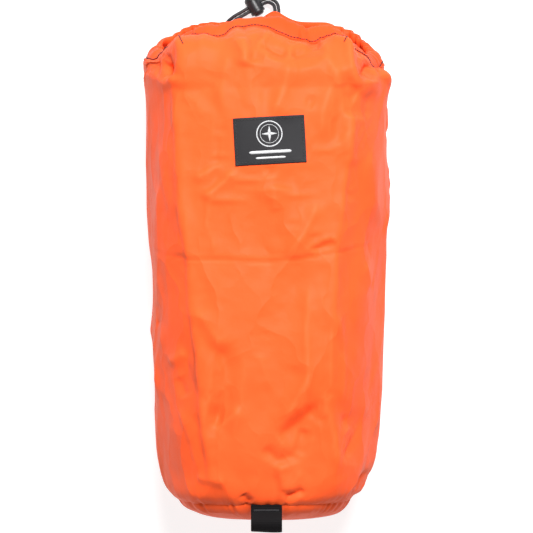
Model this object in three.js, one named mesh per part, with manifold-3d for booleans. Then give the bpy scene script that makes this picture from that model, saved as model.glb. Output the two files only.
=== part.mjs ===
// A drawcord stuff sack lying on its back, filled, with its mouth half drawn in.
// Millimetres, +Z up. The origin is the centre of the flat patch it rests on, +Y runs
// towards the mouth and +X is the right-hand side seen from above.
import * as THREE from "three";
import { LoftGeometry } from "three/addons/geometries/LoftGeometry.js";
import { mergeVertices } from "three/addons/utils/BufferGeometryUtils.js";
import Module from "manifold-3d";

const wasm = await Module();
wasm.setup();

// ---- driving dimensions ----
const WALL = 1.5; // stand-in thickness of the fabric
const GAP = 0.3; // between pieces that touch
const SQUARENESS = 2.4; // superellipse exponent of every cross section of the sack
const AROUND = 48; // points round a cross section
const MOUTH_STEPS = 56; // steps round the drawcord channel

const LABEL_WIDTH = 57;
const LABEL_HEIGHT = 38;
const LABEL_THICKNESS = 0.8;
const LABEL_CENTRE = [2.6, 99.4];
const LABEL_TURN = THREE.MathUtils.degToRad(3.2);
const STITCH_INSET = 2; // stitching line from the label's edge
const THREAD = 0.7; // diameter of a stand-in thread line

const CHANNEL_HEIGHT = 12.6; // along Y
const CHANNEL_THICKNESS = 5.6; // from outside to inside of the tunnel
const CHANNEL_WALL = 0.8;
const SLIT_X = 8.9; // middle of the cord exit, at the underside of the mouth
const SLIT_HALF = 7.7;

const CORD = 3; // diameter
const CORD_SIDES = 8;
const CORD_STEP = 7;

const SEAM_WIDTH = 9; // folded allowance of the lengthwise seam
const SEAM_THICKNESS = 0.9;

const WEBBING_WIDTH = 25;
const WEBBING = 1.3; // thickness
const LOOP_ROOT = [-194.9, 172]; // y and z where the loop leaves the bottom seam
const LOOP_LENGTH = 19.6;
const LOOP_EYE = 7; // height of the eye of the loop
const LOOP_LAY = 4; // length where the two layers lie together

const LOCK_CENTRE = new THREE.Vector3(-10, 225.5, 6.7);
const LOCK_TURN = THREE.MathUtils.degToRad(30); // direction of the cords through the lock
const BARREL_RADIUS = 6.5;
const BARREL_BACK = -10; // closed end, along the lock's own axis from the cord hole
const BARREL_RIM = 6.5; // open end
const BARREL_FLOOR = 1.3;
const PLUNGER_RADIUS = 4.5;
const PLUNGER_BACK = -4.9;
const PLUNGER_FACE = 8.5;
const PLUNGER_TRAVEL = 2;
const HOLE_LENGTH = 7; // cord hole, along the lock's axis
const HOLE_HEIGHT = 3.8;
const SPRING_RADIUS = 3.2;
const SPRING_WIRE = 0.5;
const SPRING_TURNS = 2.5;

// Cross sections of the sack from the bottom seam to the mouth: y, half width, height of the
// underside and of the top, how deep the underside is pressed flat, and how far the underside
// leans out past the top.
const STATIONS = [
  [-193, 75, 17, 172, 0, 0],
  [-187, 81, 9, 180, 1, 0],
  [-179, 85.5, 4, 184, 3, 0],
  [-166, 89.5, 0, 187, 6, 0],
  [-146, 92.5, 0, 189, 8, 0],
  [-110, 95.5, 0, 190, 8, 0],
  [-40, 97, 0, 190, 8, 0],
  [30, 100, 0, 190, 8, 0],
  [90, 101, 0, 190, 8, 0],
  [150, 101, 0, 188, 8, 0],
  [168, 101, 2, 185, 5, 0],
  [178, 96.5, 6, 179, 2, 1],
  [184.5, 89.5, 10, 170, 1, 4],
  [187.5, 81, 14.5, 160, 0, 8.5],
  [186.7, 73.5, 17.5, 152, 0, 12],
].map(([y, half, low, top, press, lean]) => ({ y, half, low, top, press, lean }));

// The domed bottom: y and share of the bottom seam's width and height.
const DOME = [
  [-193.3, 1],
  [-197.5, 0.93],
  [-202, 0.78],
  [-205.6, 0.55],
  [-207.6, 0.25],
];

const MOUTH = { y: 193.3, half: 73.5, low: 17.5, top: 152, press: 0, lean: 12 };

// The cords' free ends, from the slit, through the lock and along the table under the mouth.
const TAIL_LEFT = [
  [2.2, 206, 20.3],
  [4.5, 206.8, 20.2],
  [6.5, 209, 20],
  [7.3, 212.2, 19.4],
  [7.3, 217, 17.2],
  [7.2, 222.6, 13.6],
  [6.4, 225.8, 11.6],
  [4.1, 228, 9.7],
  [0.9, 229, 7.9],
  [-2.2, 228.1, 6.9],
  [-5.7, 226.1, 6.7],
  [-9.2, 224.1, 6.7],
  [-16.1, 220.1, 6.7],
  [-21.3, 217.1, 6.7],
  [-26.3, 214.2, 6.5],
  [-30.4, 211.1, 4.9],
  [-34, 206.8, 2.9],
  [-37.2, 201.4, 1.9],
  [-41.2, 195.7, 1.7],
  [-47.3, 190.9, 1.7],
  [-54.8, 188.6, 1.7],
  [-63, 187.9, 1.7],
  [-71, 188.1, 2],
  [-78, 189, 3.4],
];
const TAIL_RIGHT = [
  [15.5, 206, 20.3],
  [13.3, 206.8, 20.2],
  [11.4, 209, 20],
  [10.6, 212.2, 19.4],
  [10.6, 217, 17.2],
  [10.6, 222.6, 13.6],
  [9.3, 227.5, 11.4],
  [5.8, 230.9, 9.5],
  [0.9, 232.3, 7.9],
  [-3.9, 230.9, 6.9],
  [-7.3, 228.9, 6.7],
  [-10.8, 226.9, 6.7],
  [-17.8, 222.9, 6.7],
  [-23, 219.9, 6.7],
  [-28.2, 216.9, 6.5],
  [-32.8, 213.4, 4.9],
  [-36.9, 208.4, 2.9],
  [-40.3, 203, 1.9],
  [-43.9, 198, 1.7],
  [-48.9, 194.1, 1.7],
  [-55.3, 192, 1.7],
  [-63, 191.3, 1.7],
  [-71, 191.5, 2],
  [-78, 192.3, 3.4],
];
const KNOT_CENTRE = new THREE.Vector3(-82.9, 191, 4.6);
const KNOT_RADIUS = 4.3;
const KNOT_ENDS = 10; // length of the two short ends past the knot

// ---- materials ----
const material = (color, roughness, metalness = 0) =>
  new THREE.MeshStandardMaterial({ color, roughness, metalness });
const NYLON = material(0xf26a35, 0.5);
const SEAM = material(0xd9572a, 0.6);
const THREAD_DARK = material(0x6d2118, 0.75);
const BLACK_THREAD = material(0x17151a, 0.75);
const WEB = material(0x241f24, 0.8);
const LABEL = material(0x26232a, 0.85);
const CORDAGE = material(0x111114, 0.85);
const PLASTIC = material(0x2a2e36, 0.45);
const STEEL = material(0xb9bcc0, 0.3, 0.9);

// ---- helpers ----
const group = new THREE.Group();

function add(name, geometry, surface, parent = group) {
  const mesh = new THREE.Mesh(geometry, surface);
  mesh.name = name;
  parent.add(mesh);
  return mesh;
}

const power = (v) => Math.sign(v) * Math.abs(v) ** (2 / SQUARENESS);

// A point of a cross section. The angle runs from the middle of the underside towards +X, and
// inset moves the point into the sack.
function sectionPoint(s, angle, inset = 0) {
  const top = s.top - inset;
  const low = s.low + inset;
  const rise = (top - low + s.press) / 2;
  const x = (s.half - inset) * power(Math.sin(angle));
  const z = Math.max(top - rise - rise * power(Math.cos(angle)), low);
  return new THREE.Vector3(x, s.y + (s.lean * (top - z)) / (top - low), z);
}

function ring(s, inset = 0) {
  return Array.from({ length: AROUND }, (_, i) =>
    sectionPoint(s, (-2 * Math.PI * i) / AROUND, inset),
  );
}

// A thin closed shell between an outer and an inner run of sections.
function shell(outer, inner) {
  return new LoftGeometry([...outer, ...inner.reverse(), outer[0]]);
}

// The cross section at any y between the stations.
function stationAt(y) {
  const i = STATIONS.findIndex((s, k) => k > 0 && y <= s.y);
  const [a, b] = [STATIONS[i - 1], STATIONS[i]];
  const share = (y - a.y) / (b.y - a.y);
  return Object.fromEntries(
    Object.keys(a).map((key) => [key, THREE.MathUtils.lerp(a[key], b[key], share)]),
  );
}

// The height of the sack's upper and lower surface above a point of the table.
function heights(x, y) {
  const s = stationAt(y);
  const rise = (s.top - s.low + s.press) / 2;
  const bulge = rise * (1 - (Math.abs(x) / s.half) ** SQUARENESS) ** (1 / SQUARENESS);
  const middle = s.top - rise;
  return { upper: middle + bulge, lower: Math.max(middle - bulge, s.low) };
}

function polygon(radius, sides) {
  return new THREE.Shape(
    Array.from({ length: sides }, (_, i) => {
      const a = (2 * Math.PI * i) / sides;
      return new THREE.Vector2(radius * Math.cos(a), radius * Math.sin(a));
    }),
  );
}

function tube(points, diameter, steps, sides = CORD_SIDES) {
  const path = new THREE.CatmullRomCurve3(points, false, "centripetal");
  return new THREE.ExtrudeGeometry(polygon(diameter / 2, sides), {
    steps,
    extrudePath: path,
  });
}

function solid(geometry) {
  const g = new THREE.BufferGeometry();
  g.setAttribute("position", geometry.getAttribute("position"));
  g.setIndex(geometry.index);
  const merged = mergeVertices(g, 1e-4);
  return new wasm.Manifold(
    new wasm.Mesh({
      numProp: 3,
      vertProperties: merged.attributes.position.array,
      triVerts: new Uint32Array(merged.index.array),
    }),
  );
}

function geometryOf(made) {
  const mesh = made.getMesh();
  const g = new THREE.BufferGeometry();
  g.setAttribute("position", new THREE.BufferAttribute(mesh.vertProperties, 3));
  g.setIndex(new THREE.BufferAttribute(mesh.triVerts, 1));
  return g;
}

// ---- fabric ----
function bodyPanel() {
  return shell(
    STATIONS.map((s) => ring(s)),
    STATIONS.map((s) => ring(s, WALL)),
  );
}

// The bottom disc, sewn to the body round its edge and pushed out into a low dome.
function bottomPanel() {
  const seam = STATIONS[0];
  const middle = (seam.top + seam.low) / 2;
  const domeRing = ([y, share], thickness) => {
    const rise = (share * (seam.top - seam.low)) / 2;
    const half = share * seam.half;
    const place = { y: y + thickness, half, low: middle - rise, top: middle + rise };
    return ring({ ...seam, ...place }, thickness);
  };
  const dome = (thickness) => {
    const rings = DOME.map((d) => domeRing(d, thickness)).reverse();
    return solid(new LoftGeometry(rings, { capStart: true, capEnd: true }));
  };
  return geometryOf(dome(0).subtract(dome(WALL)));
}

// Folded seam allowance running along the inside of the underside.
function lengthwiseSeam() {
  const lift = WALL + GAP;
  const strip = [-178, -166, -146, 0, 150, 168, 178].map((y) => {
    const corner = (x, above) =>
      new THREE.Vector3(x, y, heights(SLIT_X, y).lower + lift + above);
    const [left, right] = [SLIT_X - SEAM_WIDTH / 2, SLIT_X + SEAM_WIDTH / 2];
    return [
      corner(right, 0),
      corner(left, 0),
      corner(left, SEAM_THICKNESS),
      corner(right, SEAM_THICKNESS),
    ];
  });
  return new LoftGeometry(strip, { capStart: true, capEnd: true });
}

// Seam allowance that joins the bottom disc, standing inside round the bottom edge.
function bottomSeam() {
  const bottom = STATIONS[0].y;
  const span = [bottom + 2, STATIONS[1].y, bottom + 2 + SEAM_WIDTH].map(stationAt);
  const lift = WALL + 3 * GAP;
  return shell(
    span.map((s) => ring(s, lift)),
    span.map((s) => ring(s, lift + SEAM_THICKNESS)),
  );
}

// The angle on the mouth at which the channel stops, on either side of the cord slit.
function mouthAngle(x) {
  const share = Math.abs(x) / MOUTH.half;
  return Math.sign(x) * Math.asin(share ** (SQUARENESS / 2));
}
const CHANNEL_START = mouthAngle(SLIT_X + SLIT_HALF);
const CHANNEL_END = mouthAngle(SLIT_X - SLIT_HALF) + 2 * Math.PI;

function alongMouth(share, inset) {
  const angle = THREE.MathUtils.lerp(CHANNEL_START, CHANNEL_END, share);
  return sectionPoint(MOUTH, angle, inset);
}

// Section of the hem tunnel at a share of the way round the mouth, with chamfered corners.
function channelSection(share, inset) {
  const chamfer = 1.2;
  const [out, into] = [inset, CHANNEL_THICKNESS - inset];
  const half = CHANNEL_HEIGHT / 2 - inset;
  const corners = [
    [out, half - chamfer],
    [out + chamfer, half],
    [into - chamfer, half],
    [into, half - chamfer],
    [into, chamfer - half],
    [into - chamfer, -half],
    [out + chamfer, -half],
    [out, chamfer - half],
  ];
  return corners.map(([depth, y]) => {
    const p = alongMouth(share, depth);
    return p.setY(p.y + y);
  });
}

function drawcordChannel() {
  const sections = (inset) =>
    Array.from({ length: MOUTH_STEPS + 1 }, (_, i) => channelSection(i / MOUTH_STEPS, inset));
  return shell(sections(0), sections(CHANNEL_WALL));
}

// ---- cords and thread ----
function drawcord() {
  const points = Array.from({ length: MOUTH_STEPS + 1 }, (_, i) =>
    alongMouth(i / MOUTH_STEPS, CHANNEL_THICKNESS / 2),
  );
  return tube(points, CORD, MOUTH_STEPS);
}

function cordTail(route) {
  const points = route.map((p) => new THREE.Vector3(...p));
  const path = new THREE.CatmullRomCurve3(points, false, "centripetal");
  return tube(points, CORD, Math.round(path.getLength() / CORD_STEP) * 2);
}

function tailKnot() {
  const profile = [];
  for (let i = 0; i <= 8; i++) {
    const a = (Math.PI * i) / 10;
    profile.push(new THREE.Vector2(KNOT_RADIUS * Math.sin(a), -KNOT_RADIUS * Math.cos(a)));
  }
  const end = KNOT_RADIUS + KNOT_ENDS;
  profile.push(new THREE.Vector2(CORD * 0.8, end), new THREE.Vector2(0, end));
  return new THREE.LatheGeometry(profile, 12);
}

function hemStitching() {
  const points = Array.from({ length: MOUTH_STEPS + 1 }, (_, i) => {
    const p = alongMouth(i / MOUTH_STEPS, -THREAD / 2 - GAP);
    return p.setY(p.y - CHANNEL_HEIGHT / 2 + 2);
  });
  return tube(points, THREAD, MOUTH_STEPS, 6);
}

// A bar of tight stitches that stops the channel from tearing at the slit.
function bartack(length, width) {
  return new THREE.BoxGeometry(width, length, THREAD);
}

// ---- label ----
// A point above the sack at (u, v) of the label's own turned axes.
function labelPoint(u, v, above) {
  const [cos, sin] = [Math.cos(LABEL_TURN), Math.sin(LABEL_TURN)];
  const x = LABEL_CENTRE[0] + u * cos - v * sin;
  const y = LABEL_CENTRE[1] + u * sin + v * cos;
  return new THREE.Vector3(x, y, heights(x, y).upper + above);
}

function labelPatch() {
  const columns = 12;
  const strips = Array.from({ length: columns + 1 }, (_, i) => {
    const u = LABEL_WIDTH * (i / columns - 0.5);
    const half = LABEL_HEIGHT / 2;
    return [
      labelPoint(u, -half, GAP),
      labelPoint(u, half, GAP),
      labelPoint(u, half, GAP + LABEL_THICKNESS),
      labelPoint(u, -half, GAP + LABEL_THICKNESS),
    ];
  });
  return new LoftGeometry(strips, { capStart: true, capEnd: true });
}

// The thread round the label, as one closed line of square section.
function labelStitching() {
  const [halfU, halfV] = [LABEL_WIDTH / 2 - STITCH_INSET, LABEL_HEIGHT / 2 - STITCH_INSET];
  const low = LABEL_THICKNESS + 2 * GAP;
  const corners = [
    [-halfU, -halfV],
    [halfU, -halfV],
    [halfU, halfV],
    [-halfU, halfV],
  ];
  const perSide = 8;
  const rows = corners.flatMap(([u0, v0], i) => {
    const [u1, v1] = corners[(i + 1) % corners.length];
    return Array.from({ length: perSide }, (_, k) => {
      const u = THREE.MathUtils.lerp(u0, u1, k / perSide);
      const v = THREE.MathUtils.lerp(v0, v1, k / perSide);
      const shrink = (width) => [u * (1 - width / halfU), v * (1 - width / halfV)];
      const inner = shrink(THREAD);
      return [
        labelPoint(u, v, low),
        labelPoint(...inner, low),
        labelPoint(...inner, low + THREAD),
        labelPoint(u, v, low + THREAD),
      ];
    });
  });
  return new LoftGeometry([...rows, rows[0]]);
}

// ---- grab loop ----
// Side outline of half the loop: distance from its root and half height of the eye.
function loopHalf(offset, start, sign) {
  const end = LOOP_LENGTH - WEBBING + offset;
  const half = LOOP_EYE / 2 + offset;
  return new THREE.SplineCurve([
    new THREE.Vector2(start, sign * offset),
    new THREE.Vector2(LOOP_LAY, sign * (offset + 0.35)),
    new THREE.Vector2(LOOP_LAY + 4, sign * (half - 0.5)),
    new THREE.Vector2(LOOP_LENGTH - 5.5, sign * half),
    new THREE.Vector2(end - 1.2, sign * half * 0.62),
    new THREE.Vector2(end, 0),
  ]).getPoints(20);
}

function grabLoop() {
  const outline = [...loopHalf(WEBBING, 0, -1), ...loopHalf(WEBBING, 0, 1).reverse().slice(1)];
  const eye = [...loopHalf(0, LOOP_LAY - 1, -1), ...loopHalf(0, LOOP_LAY - 1, 1).reverse()];
  const shape = new THREE.Shape(outline);
  shape.holes.push(new THREE.Path(eye.slice(0, -1).filter((p, i, all) => !i || !p.equals(all[i - 1]))));
  const geometry = new THREE.ExtrudeGeometry(shape, {
    depth: WEBBING_WIDTH,
    bevelEnabled: false,
  });
  // The outline's x becomes -y and its y becomes z, so the depth runs along -x.
  const turn = new THREE.Matrix4().makeBasis(
    new THREE.Vector3(0, -1, 0),
    new THREE.Vector3(0, 0, 1),
    new THREE.Vector3(-1, 0, 0),
  );
  geometry.applyMatrix4(turn);
  geometry.translate(WEBBING_WIDTH / 2, ...LOOP_ROOT);
  return geometry;
}

// ---- cord lock ----
// The lock's own axes: z is the way its button points, x is the way the cords run.
function lathe(profile) {
  const points = profile.map(([r, z]) => new THREE.Vector2(r, z));
  return new THREE.LatheGeometry(points, 32).rotateX(Math.PI / 2).scale(1, 1, 1);
}

// A round-ended slot right through, for the two cords side by side.
function slot(from, to) {
  const r = HOLE_HEIGHT / 2;
  const outline = new THREE.Shape();
  outline.absarc(from + r, 0, r, Math.PI / 2, (3 * Math.PI) / 2);
  outline.absarc(to - r, 0, r, -Math.PI / 2, Math.PI / 2);
  const depth = 3 * BARREL_RADIUS;
  const geometry = new THREE.ExtrudeGeometry(outline, {
    depth,
    bevelEnabled: false,
    curveSegments: 8,
  });
  // The outline's x becomes z and the depth becomes x.
  const turn = new THREE.Matrix4().makeBasis(
    new THREE.Vector3(0, 0, 1),
    new THREE.Vector3(0, 1, 0),
    new THREE.Vector3(-1, 0, 0),
  );
  return geometry.translate(0, 0, -depth / 2).applyMatrix4(turn);
}

function lockBarrel() {
  const [r, bore, round] = [BARREL_RADIUS, PLUNGER_RADIUS + GAP, 2];
  const wall = lathe([
    [0, BARREL_BACK],
    [r - round, BARREL_BACK],
    [r - round * 0.3, BARREL_BACK + round * 0.3],
    [r, BARREL_BACK + round],
    [r, BARREL_RIM - 0.5],
    [r - 0.5, BARREL_RIM],
    [bore, BARREL_RIM],
    [bore, BARREL_BACK + BARREL_FLOOR],
    [0, BARREL_BACK + BARREL_FLOOR],
  ]);
  return geometryOf(solid(wall).subtract(solid(slot(-HOLE_LENGTH / 2, HOLE_LENGTH / 2))));
}

function lockPlunger() {
  const [r, round] = [PLUNGER_RADIUS, 1.2];
  const body = lathe([
    [0, PLUNGER_BACK],
    [r, PLUNGER_BACK],
    [r, PLUNGER_FACE - round],
    [r - round * 0.3, PLUNGER_FACE - round * 0.3],
    [r - round, PLUNGER_FACE],
    [0, PLUNGER_FACE],
  ]);
  const hole = slot(-HOLE_LENGTH / 2, HOLE_LENGTH / 2 + PLUNGER_TRAVEL);
  return geometryOf(solid(body).subtract(solid(hole)));
}

function lockSpring() {
  const from = BARREL_BACK + BARREL_FLOOR + GAP + SPRING_WIRE / 2;
  const to = PLUNGER_BACK - GAP - SPRING_WIRE / 2;
  const points = Array.from({ length: 12 * SPRING_TURNS + 1 }, (_, i) => {
    const angle = (2 * Math.PI * i) / 12;
    const share = i / (12 * SPRING_TURNS);
    return new THREE.Vector3(
      SPRING_RADIUS * Math.cos(angle),
      SPRING_RADIUS * Math.sin(angle),
      THREE.MathUtils.lerp(from, to, share),
    );
  });
  return tube(points, SPRING_WIRE, 12 * SPRING_TURNS, 6);
}

// ---- assembly ----
add("body_panel", bodyPanel(), NYLON);
add("bottom_panel", bottomPanel(), NYLON);
add("lengthwise_seam", lengthwiseSeam(), SEAM);
add("bottom_seam", bottomSeam(), SEAM);
add("drawcord_channel", drawcordChannel(), NYLON);
add("hem_stitching", hemStitching(), THREAD_DARK);

add("drawcord", drawcord(), CORDAGE);
add("cord_tail_left", cordTail(TAIL_LEFT), CORDAGE);
add("cord_tail_right", cordTail(TAIL_RIGHT), CORDAGE);
const knot = add("tail_knot", tailKnot(), CORDAGE);
knot.rotation.z = Math.PI / 2;
knot.position.copy(KNOT_CENTRE);

const tackLength = CHANNEL_HEIGHT - 5;
const tackZ = MOUTH.low - GAP - THREAD;
for (const [side, x] of [
  ["left", SLIT_X - SLIT_HALF - 2],
  ["right", SLIT_X + SLIT_HALF + 2],
]) {
  const tack = add("slit_bartack_" + side, bartack(tackLength, 1.4), THREAD_DARK);
  tack.position.set(x, MOUTH.y + MOUTH.lean + 1, tackZ);
}

add("label_patch", labelPatch(), LABEL);
add("label_stitching", labelStitching(), BLACK_THREAD);

add("grab_loop_webbing", grabLoop(), WEB);
const loopTack = add("grab_loop_bartack", bartack(1.4, WEBBING_WIDTH - 5), BLACK_THREAD);
loopTack.position.set(0, LOOP_ROOT[0] - 2, LOOP_ROOT[1] + WEBBING + GAP + THREAD / 2 + 0.2);

const lock = new THREE.Group();
const cordDirection = new THREE.Vector3(Math.cos(LOCK_TURN), Math.sin(LOCK_TURN), 0);
const buttonDirection = new THREE.Vector3(Math.sin(LOCK_TURN), -Math.cos(LOCK_TURN), 0);
const lockAxes = new THREE.Matrix4().makeBasis(
  cordDirection,
  new THREE.Vector3(0, 0, 1),
  buttonDirection,
);
lock.quaternion.setFromRotationMatrix(lockAxes);
lock.position.copy(LOCK_CENTRE);
group.add(lock);
add("lock_barrel", lockBarrel(), PLASTIC, lock);
add("lock_plunger", lockPlunger(), PLASTIC, lock);
add("lock_spring", lockSpring(), STEEL, lock);

export default group;
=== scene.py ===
"""A drawcord stuff sack of orange nylon, filled and lying on its back.

Metres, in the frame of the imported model: +Z up, +Y towards the mouth. The tables of points are in
millimetres and are turned into metres by MM where they are used.
"""
import math

import bmesh
import bpy
import numpy as np
from mathutils import Matrix, Vector
from mathutils.bvhtree import BVHTree


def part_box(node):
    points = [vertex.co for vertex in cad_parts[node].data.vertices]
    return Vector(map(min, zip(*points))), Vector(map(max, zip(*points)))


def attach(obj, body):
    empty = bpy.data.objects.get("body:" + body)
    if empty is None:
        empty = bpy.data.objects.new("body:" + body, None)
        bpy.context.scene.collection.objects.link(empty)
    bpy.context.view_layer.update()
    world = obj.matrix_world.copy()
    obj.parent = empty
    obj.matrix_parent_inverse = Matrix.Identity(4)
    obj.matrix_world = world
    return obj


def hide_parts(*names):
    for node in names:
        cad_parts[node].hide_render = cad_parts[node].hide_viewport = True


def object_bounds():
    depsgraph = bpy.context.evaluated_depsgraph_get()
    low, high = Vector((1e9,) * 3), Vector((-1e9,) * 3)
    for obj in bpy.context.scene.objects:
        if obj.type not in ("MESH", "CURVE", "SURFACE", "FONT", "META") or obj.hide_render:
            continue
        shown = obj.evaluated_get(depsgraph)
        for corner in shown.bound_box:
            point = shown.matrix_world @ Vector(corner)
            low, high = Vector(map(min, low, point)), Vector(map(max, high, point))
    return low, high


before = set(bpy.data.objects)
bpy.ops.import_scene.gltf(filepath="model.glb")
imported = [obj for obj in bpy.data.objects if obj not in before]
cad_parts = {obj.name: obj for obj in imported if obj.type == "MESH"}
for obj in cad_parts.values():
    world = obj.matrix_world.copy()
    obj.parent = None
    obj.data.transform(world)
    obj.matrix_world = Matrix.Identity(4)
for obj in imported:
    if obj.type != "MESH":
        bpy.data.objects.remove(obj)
cad_low, cad_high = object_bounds()

MM = 0.001
PI = math.pi

# ---- driving dimensions, in millimetres ----
FABRIC = 0.35  # thickness of the nylon
CUT_AROUND = 638.0  # width of the rectangle that is sewn to a tube
COLUMNS = 320  # grid steps round the sack
CORD = 3.0  # diameter
BRAID_PITCH = 4.2
# Stitches: length, gap, half thickness of the thread, and how far it stands off the cloth.
HEM_STITCH = (2.1, 0.5, 0.475, 0.45)
LABEL_STITCH = (2.0, 0.6, 0.26, 0.1)
SLIT_TACK = (1.7, 0.02, 0.2, 0.15)
LOOP_TACK = (1.6, 0.02, 0.22, 0.0)
SQUARENESS = 2.9  # superellipse exponent of the body's sections
SMALL_FOLDS = 120  # how many short folds are spread over the cloth
CREST = 1.1  # how rounded the crest of a fold is
FOLD_LEAN = 0.3  # how much wider a fold is on the one side than on the other
FLATTENING = 0.44  # how far the cloth between two long creases is pulled straight
SINE_MEAN = 0.64  # mean of the absolute value of a sine
FINE_GATHERS = 54  # folds round the mouth, the small and the wide ones
WIDE_GATHERS = 23
HEM_PLEATS = 46
SEAM_PUCKERS = 62  # round the bottom seam
SECTION_HALF = (99.0, 96.0)  # half width and half height that the columns are spaced out on
FLAT_LINES = (60.0, 62.0)  # x of the lines where the underside ends, to the left and the right
AXIS_HEIGHT = 95.0  # of the middle of the filled sack above the table
MOUTH_HEIGHT = 84.75  # of the middle of the mouth
MOUTH_HALF = (91.0, 67.0)  # half its width and half its height
LOWEST = 0.25  # the cloth stays this far above the table

# The body's outline: y, half width to the left and to the right, height of the underside and of
# the top, and how deep the underside is pressed flat on the table.
STATIONS = np.array([
    [-193.0, 73.0, 70.5, 17.0, 172.0, 0.0],
    [-187.0, 80.5, 80.5, 9.0, 180.0, 1.0],
    [-179.0, 86.0, 86.5, 4.0, 184.5, 3.0],
    [-166.0, 90.5, 92.0, 1.0, 187.5, 6.0],
    [-146.0, 94.0, 95.5, 0.0, 189.5, 8.0],
    [-110.0, 95.8, 97.3, 0.0, 190.5, 8.0],
    [-60.0, 96.0, 98.8, 0.0, 190.5, 8.0],
    [-10.0, 96.8, 99.3, 0.0, 190.5, 8.0],
    [26.0, 100.0, 99.5, 0.0, 190.5, 8.0],
    [90.0, 101.0, 101.8, 0.0, 190.5, 8.0],
    [140.0, 101.0, 103.5, 0.0, 189.5, 8.0],
    [160.0, 101.5, 103.0, 1.0, 187.0, 6.0],
    [171.0, 102.0, 101.0, 3.5, 182.5, 4.0],
    [179.0, 101.7, 99.3, 8.0, 175.5, 2.0],
    [184.5, 101.0, 98.3, 13.0, 165.0, 1.0],
    [187.0, 100.0, 97.0, 17.5, 152.0, 0.0],
])
# The hem at the front: x, y of the stitch line and y of the folded edge.
HEM_FRONT = np.array([
    [-94.0, 171.0, 176.5],
    [-84.0, 176.0, 182.5],
    [-72.0, 181.5, 190.0],
    [-60.0, 186.6, 195.0],
    [-50.0, 186.6, 197.0],
    [-43.5, 185.0, 195.6],
    [-39.0, 183.6, 196.6],
    [-33.0, 187.4, 198.6],
    [-23.5, 193.0, 201.0],
    [-9.0, 193.4, 202.6],
    [0.0, 192.2, 202.2],
    [11.0, 186.6, 202.4],
    [23.0, 182.4, 198.4],
    [31.0, 181.6, 195.4],
    [35.7, 181.4, 192.6],
    [41.0, 181.8, 195.2],
    [56.0, 187.2, 195.8],
    [65.0, 183.8, 191.4],
    [78.0, 175.5, 182.0],
    [88.5, 168.0, 174.0],
])
# The hem round the sides and the back: angle from the underside in degrees, then the same two.
HEM_SIDES = np.array([
    [0.0, 199.4, 211.6],
    [25.0, 197.6, 209.2],
    [36.0, 193.5, 206.0],
    [48.0, 188.5, 199.5],
    [75.0, 177.5, 187.0],
    [100.0, 171.5, 179.5],
    [120.0, 170.0, 177.5],
])
RIGHT_DROP = 3.5  # how much lower the hem lies on the right side
EAR_X = 7.8  # where the cords come out of the hem
EAR_HALF = 11.0
EAR_HEIGHT = 8.5
SLIT_HALF = 5.0
CORD_ENDS = (EAR_X - 6.9, EAR_X + 6.8)  # x where the cord in the hem stops, beside the slit
SLIT_LEVELS = (3, 4, 5)  # steps up the outside of the hem that the slit takes
SETTLE_SCALE = 10.0  # the drape is worked out this much larger, as the solver likes metres
SETTLE_GAP = 0.004  # metres that it keeps between cloth and filling, at that scale
SETTLE_FRAMES = 20
SETTLE_MOST = 3.5  # how far the drape may move the cloth
NYLON_DRAPE = {  # the solver's settings for the cloth
    "quality": 6, "mass": 0.3, "bending_stiffness": 0.06, "bending_damping": 0.6,
    "tension_stiffness": 18, "compression_stiffness": 18, "shear_stiffness": 6,
    "tension_damping": 8, "compression_damping": 8, "shear_damping": 8,
    "air_damping": 2, "pin_stiffness": 1.5,
}
KEPT_SHAPE = 0.6  # share of its wide, slow movement that is taken back
FILLING_GAP = 1.2  # how far the filling lies under the cloth at the start
CLOTH_AROUND = 0.06  # how much too large the cloth is for its filling, round it and along it
CLOTH_ALONG = 0.012
MARK_LOWEST = 95.0  # the seam marks on the shoulders stay above this height
SHOULDER_MARKS = [((-72.0, 187.5), (-66.5, 176.5)), ((66.5, 187.5), (61.5, 177.0))]

# Long creases that part the front of the sack from its sides, as x at each y.
CREASE_LEFT = np.array([
    [-193, -46], [-169, -44], [-143, -47], [-108, -51], [-70, -54], [-48, -58], [0, -62],
    [32, -66], [88, -70], [125, -74], [141, -76], [158, -72], [187, -68],
], float)
CREASE_RIGHT = np.array([
    [-193, 56], [-167, 55], [-122, 54], [-95, 53], [-60, 52], [-20, 54], [12, 57], [32, 58],
    [74, 64], [105, 67], [123, 68], [142, 77], [158, 69], [187, 65],
], float)

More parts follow.
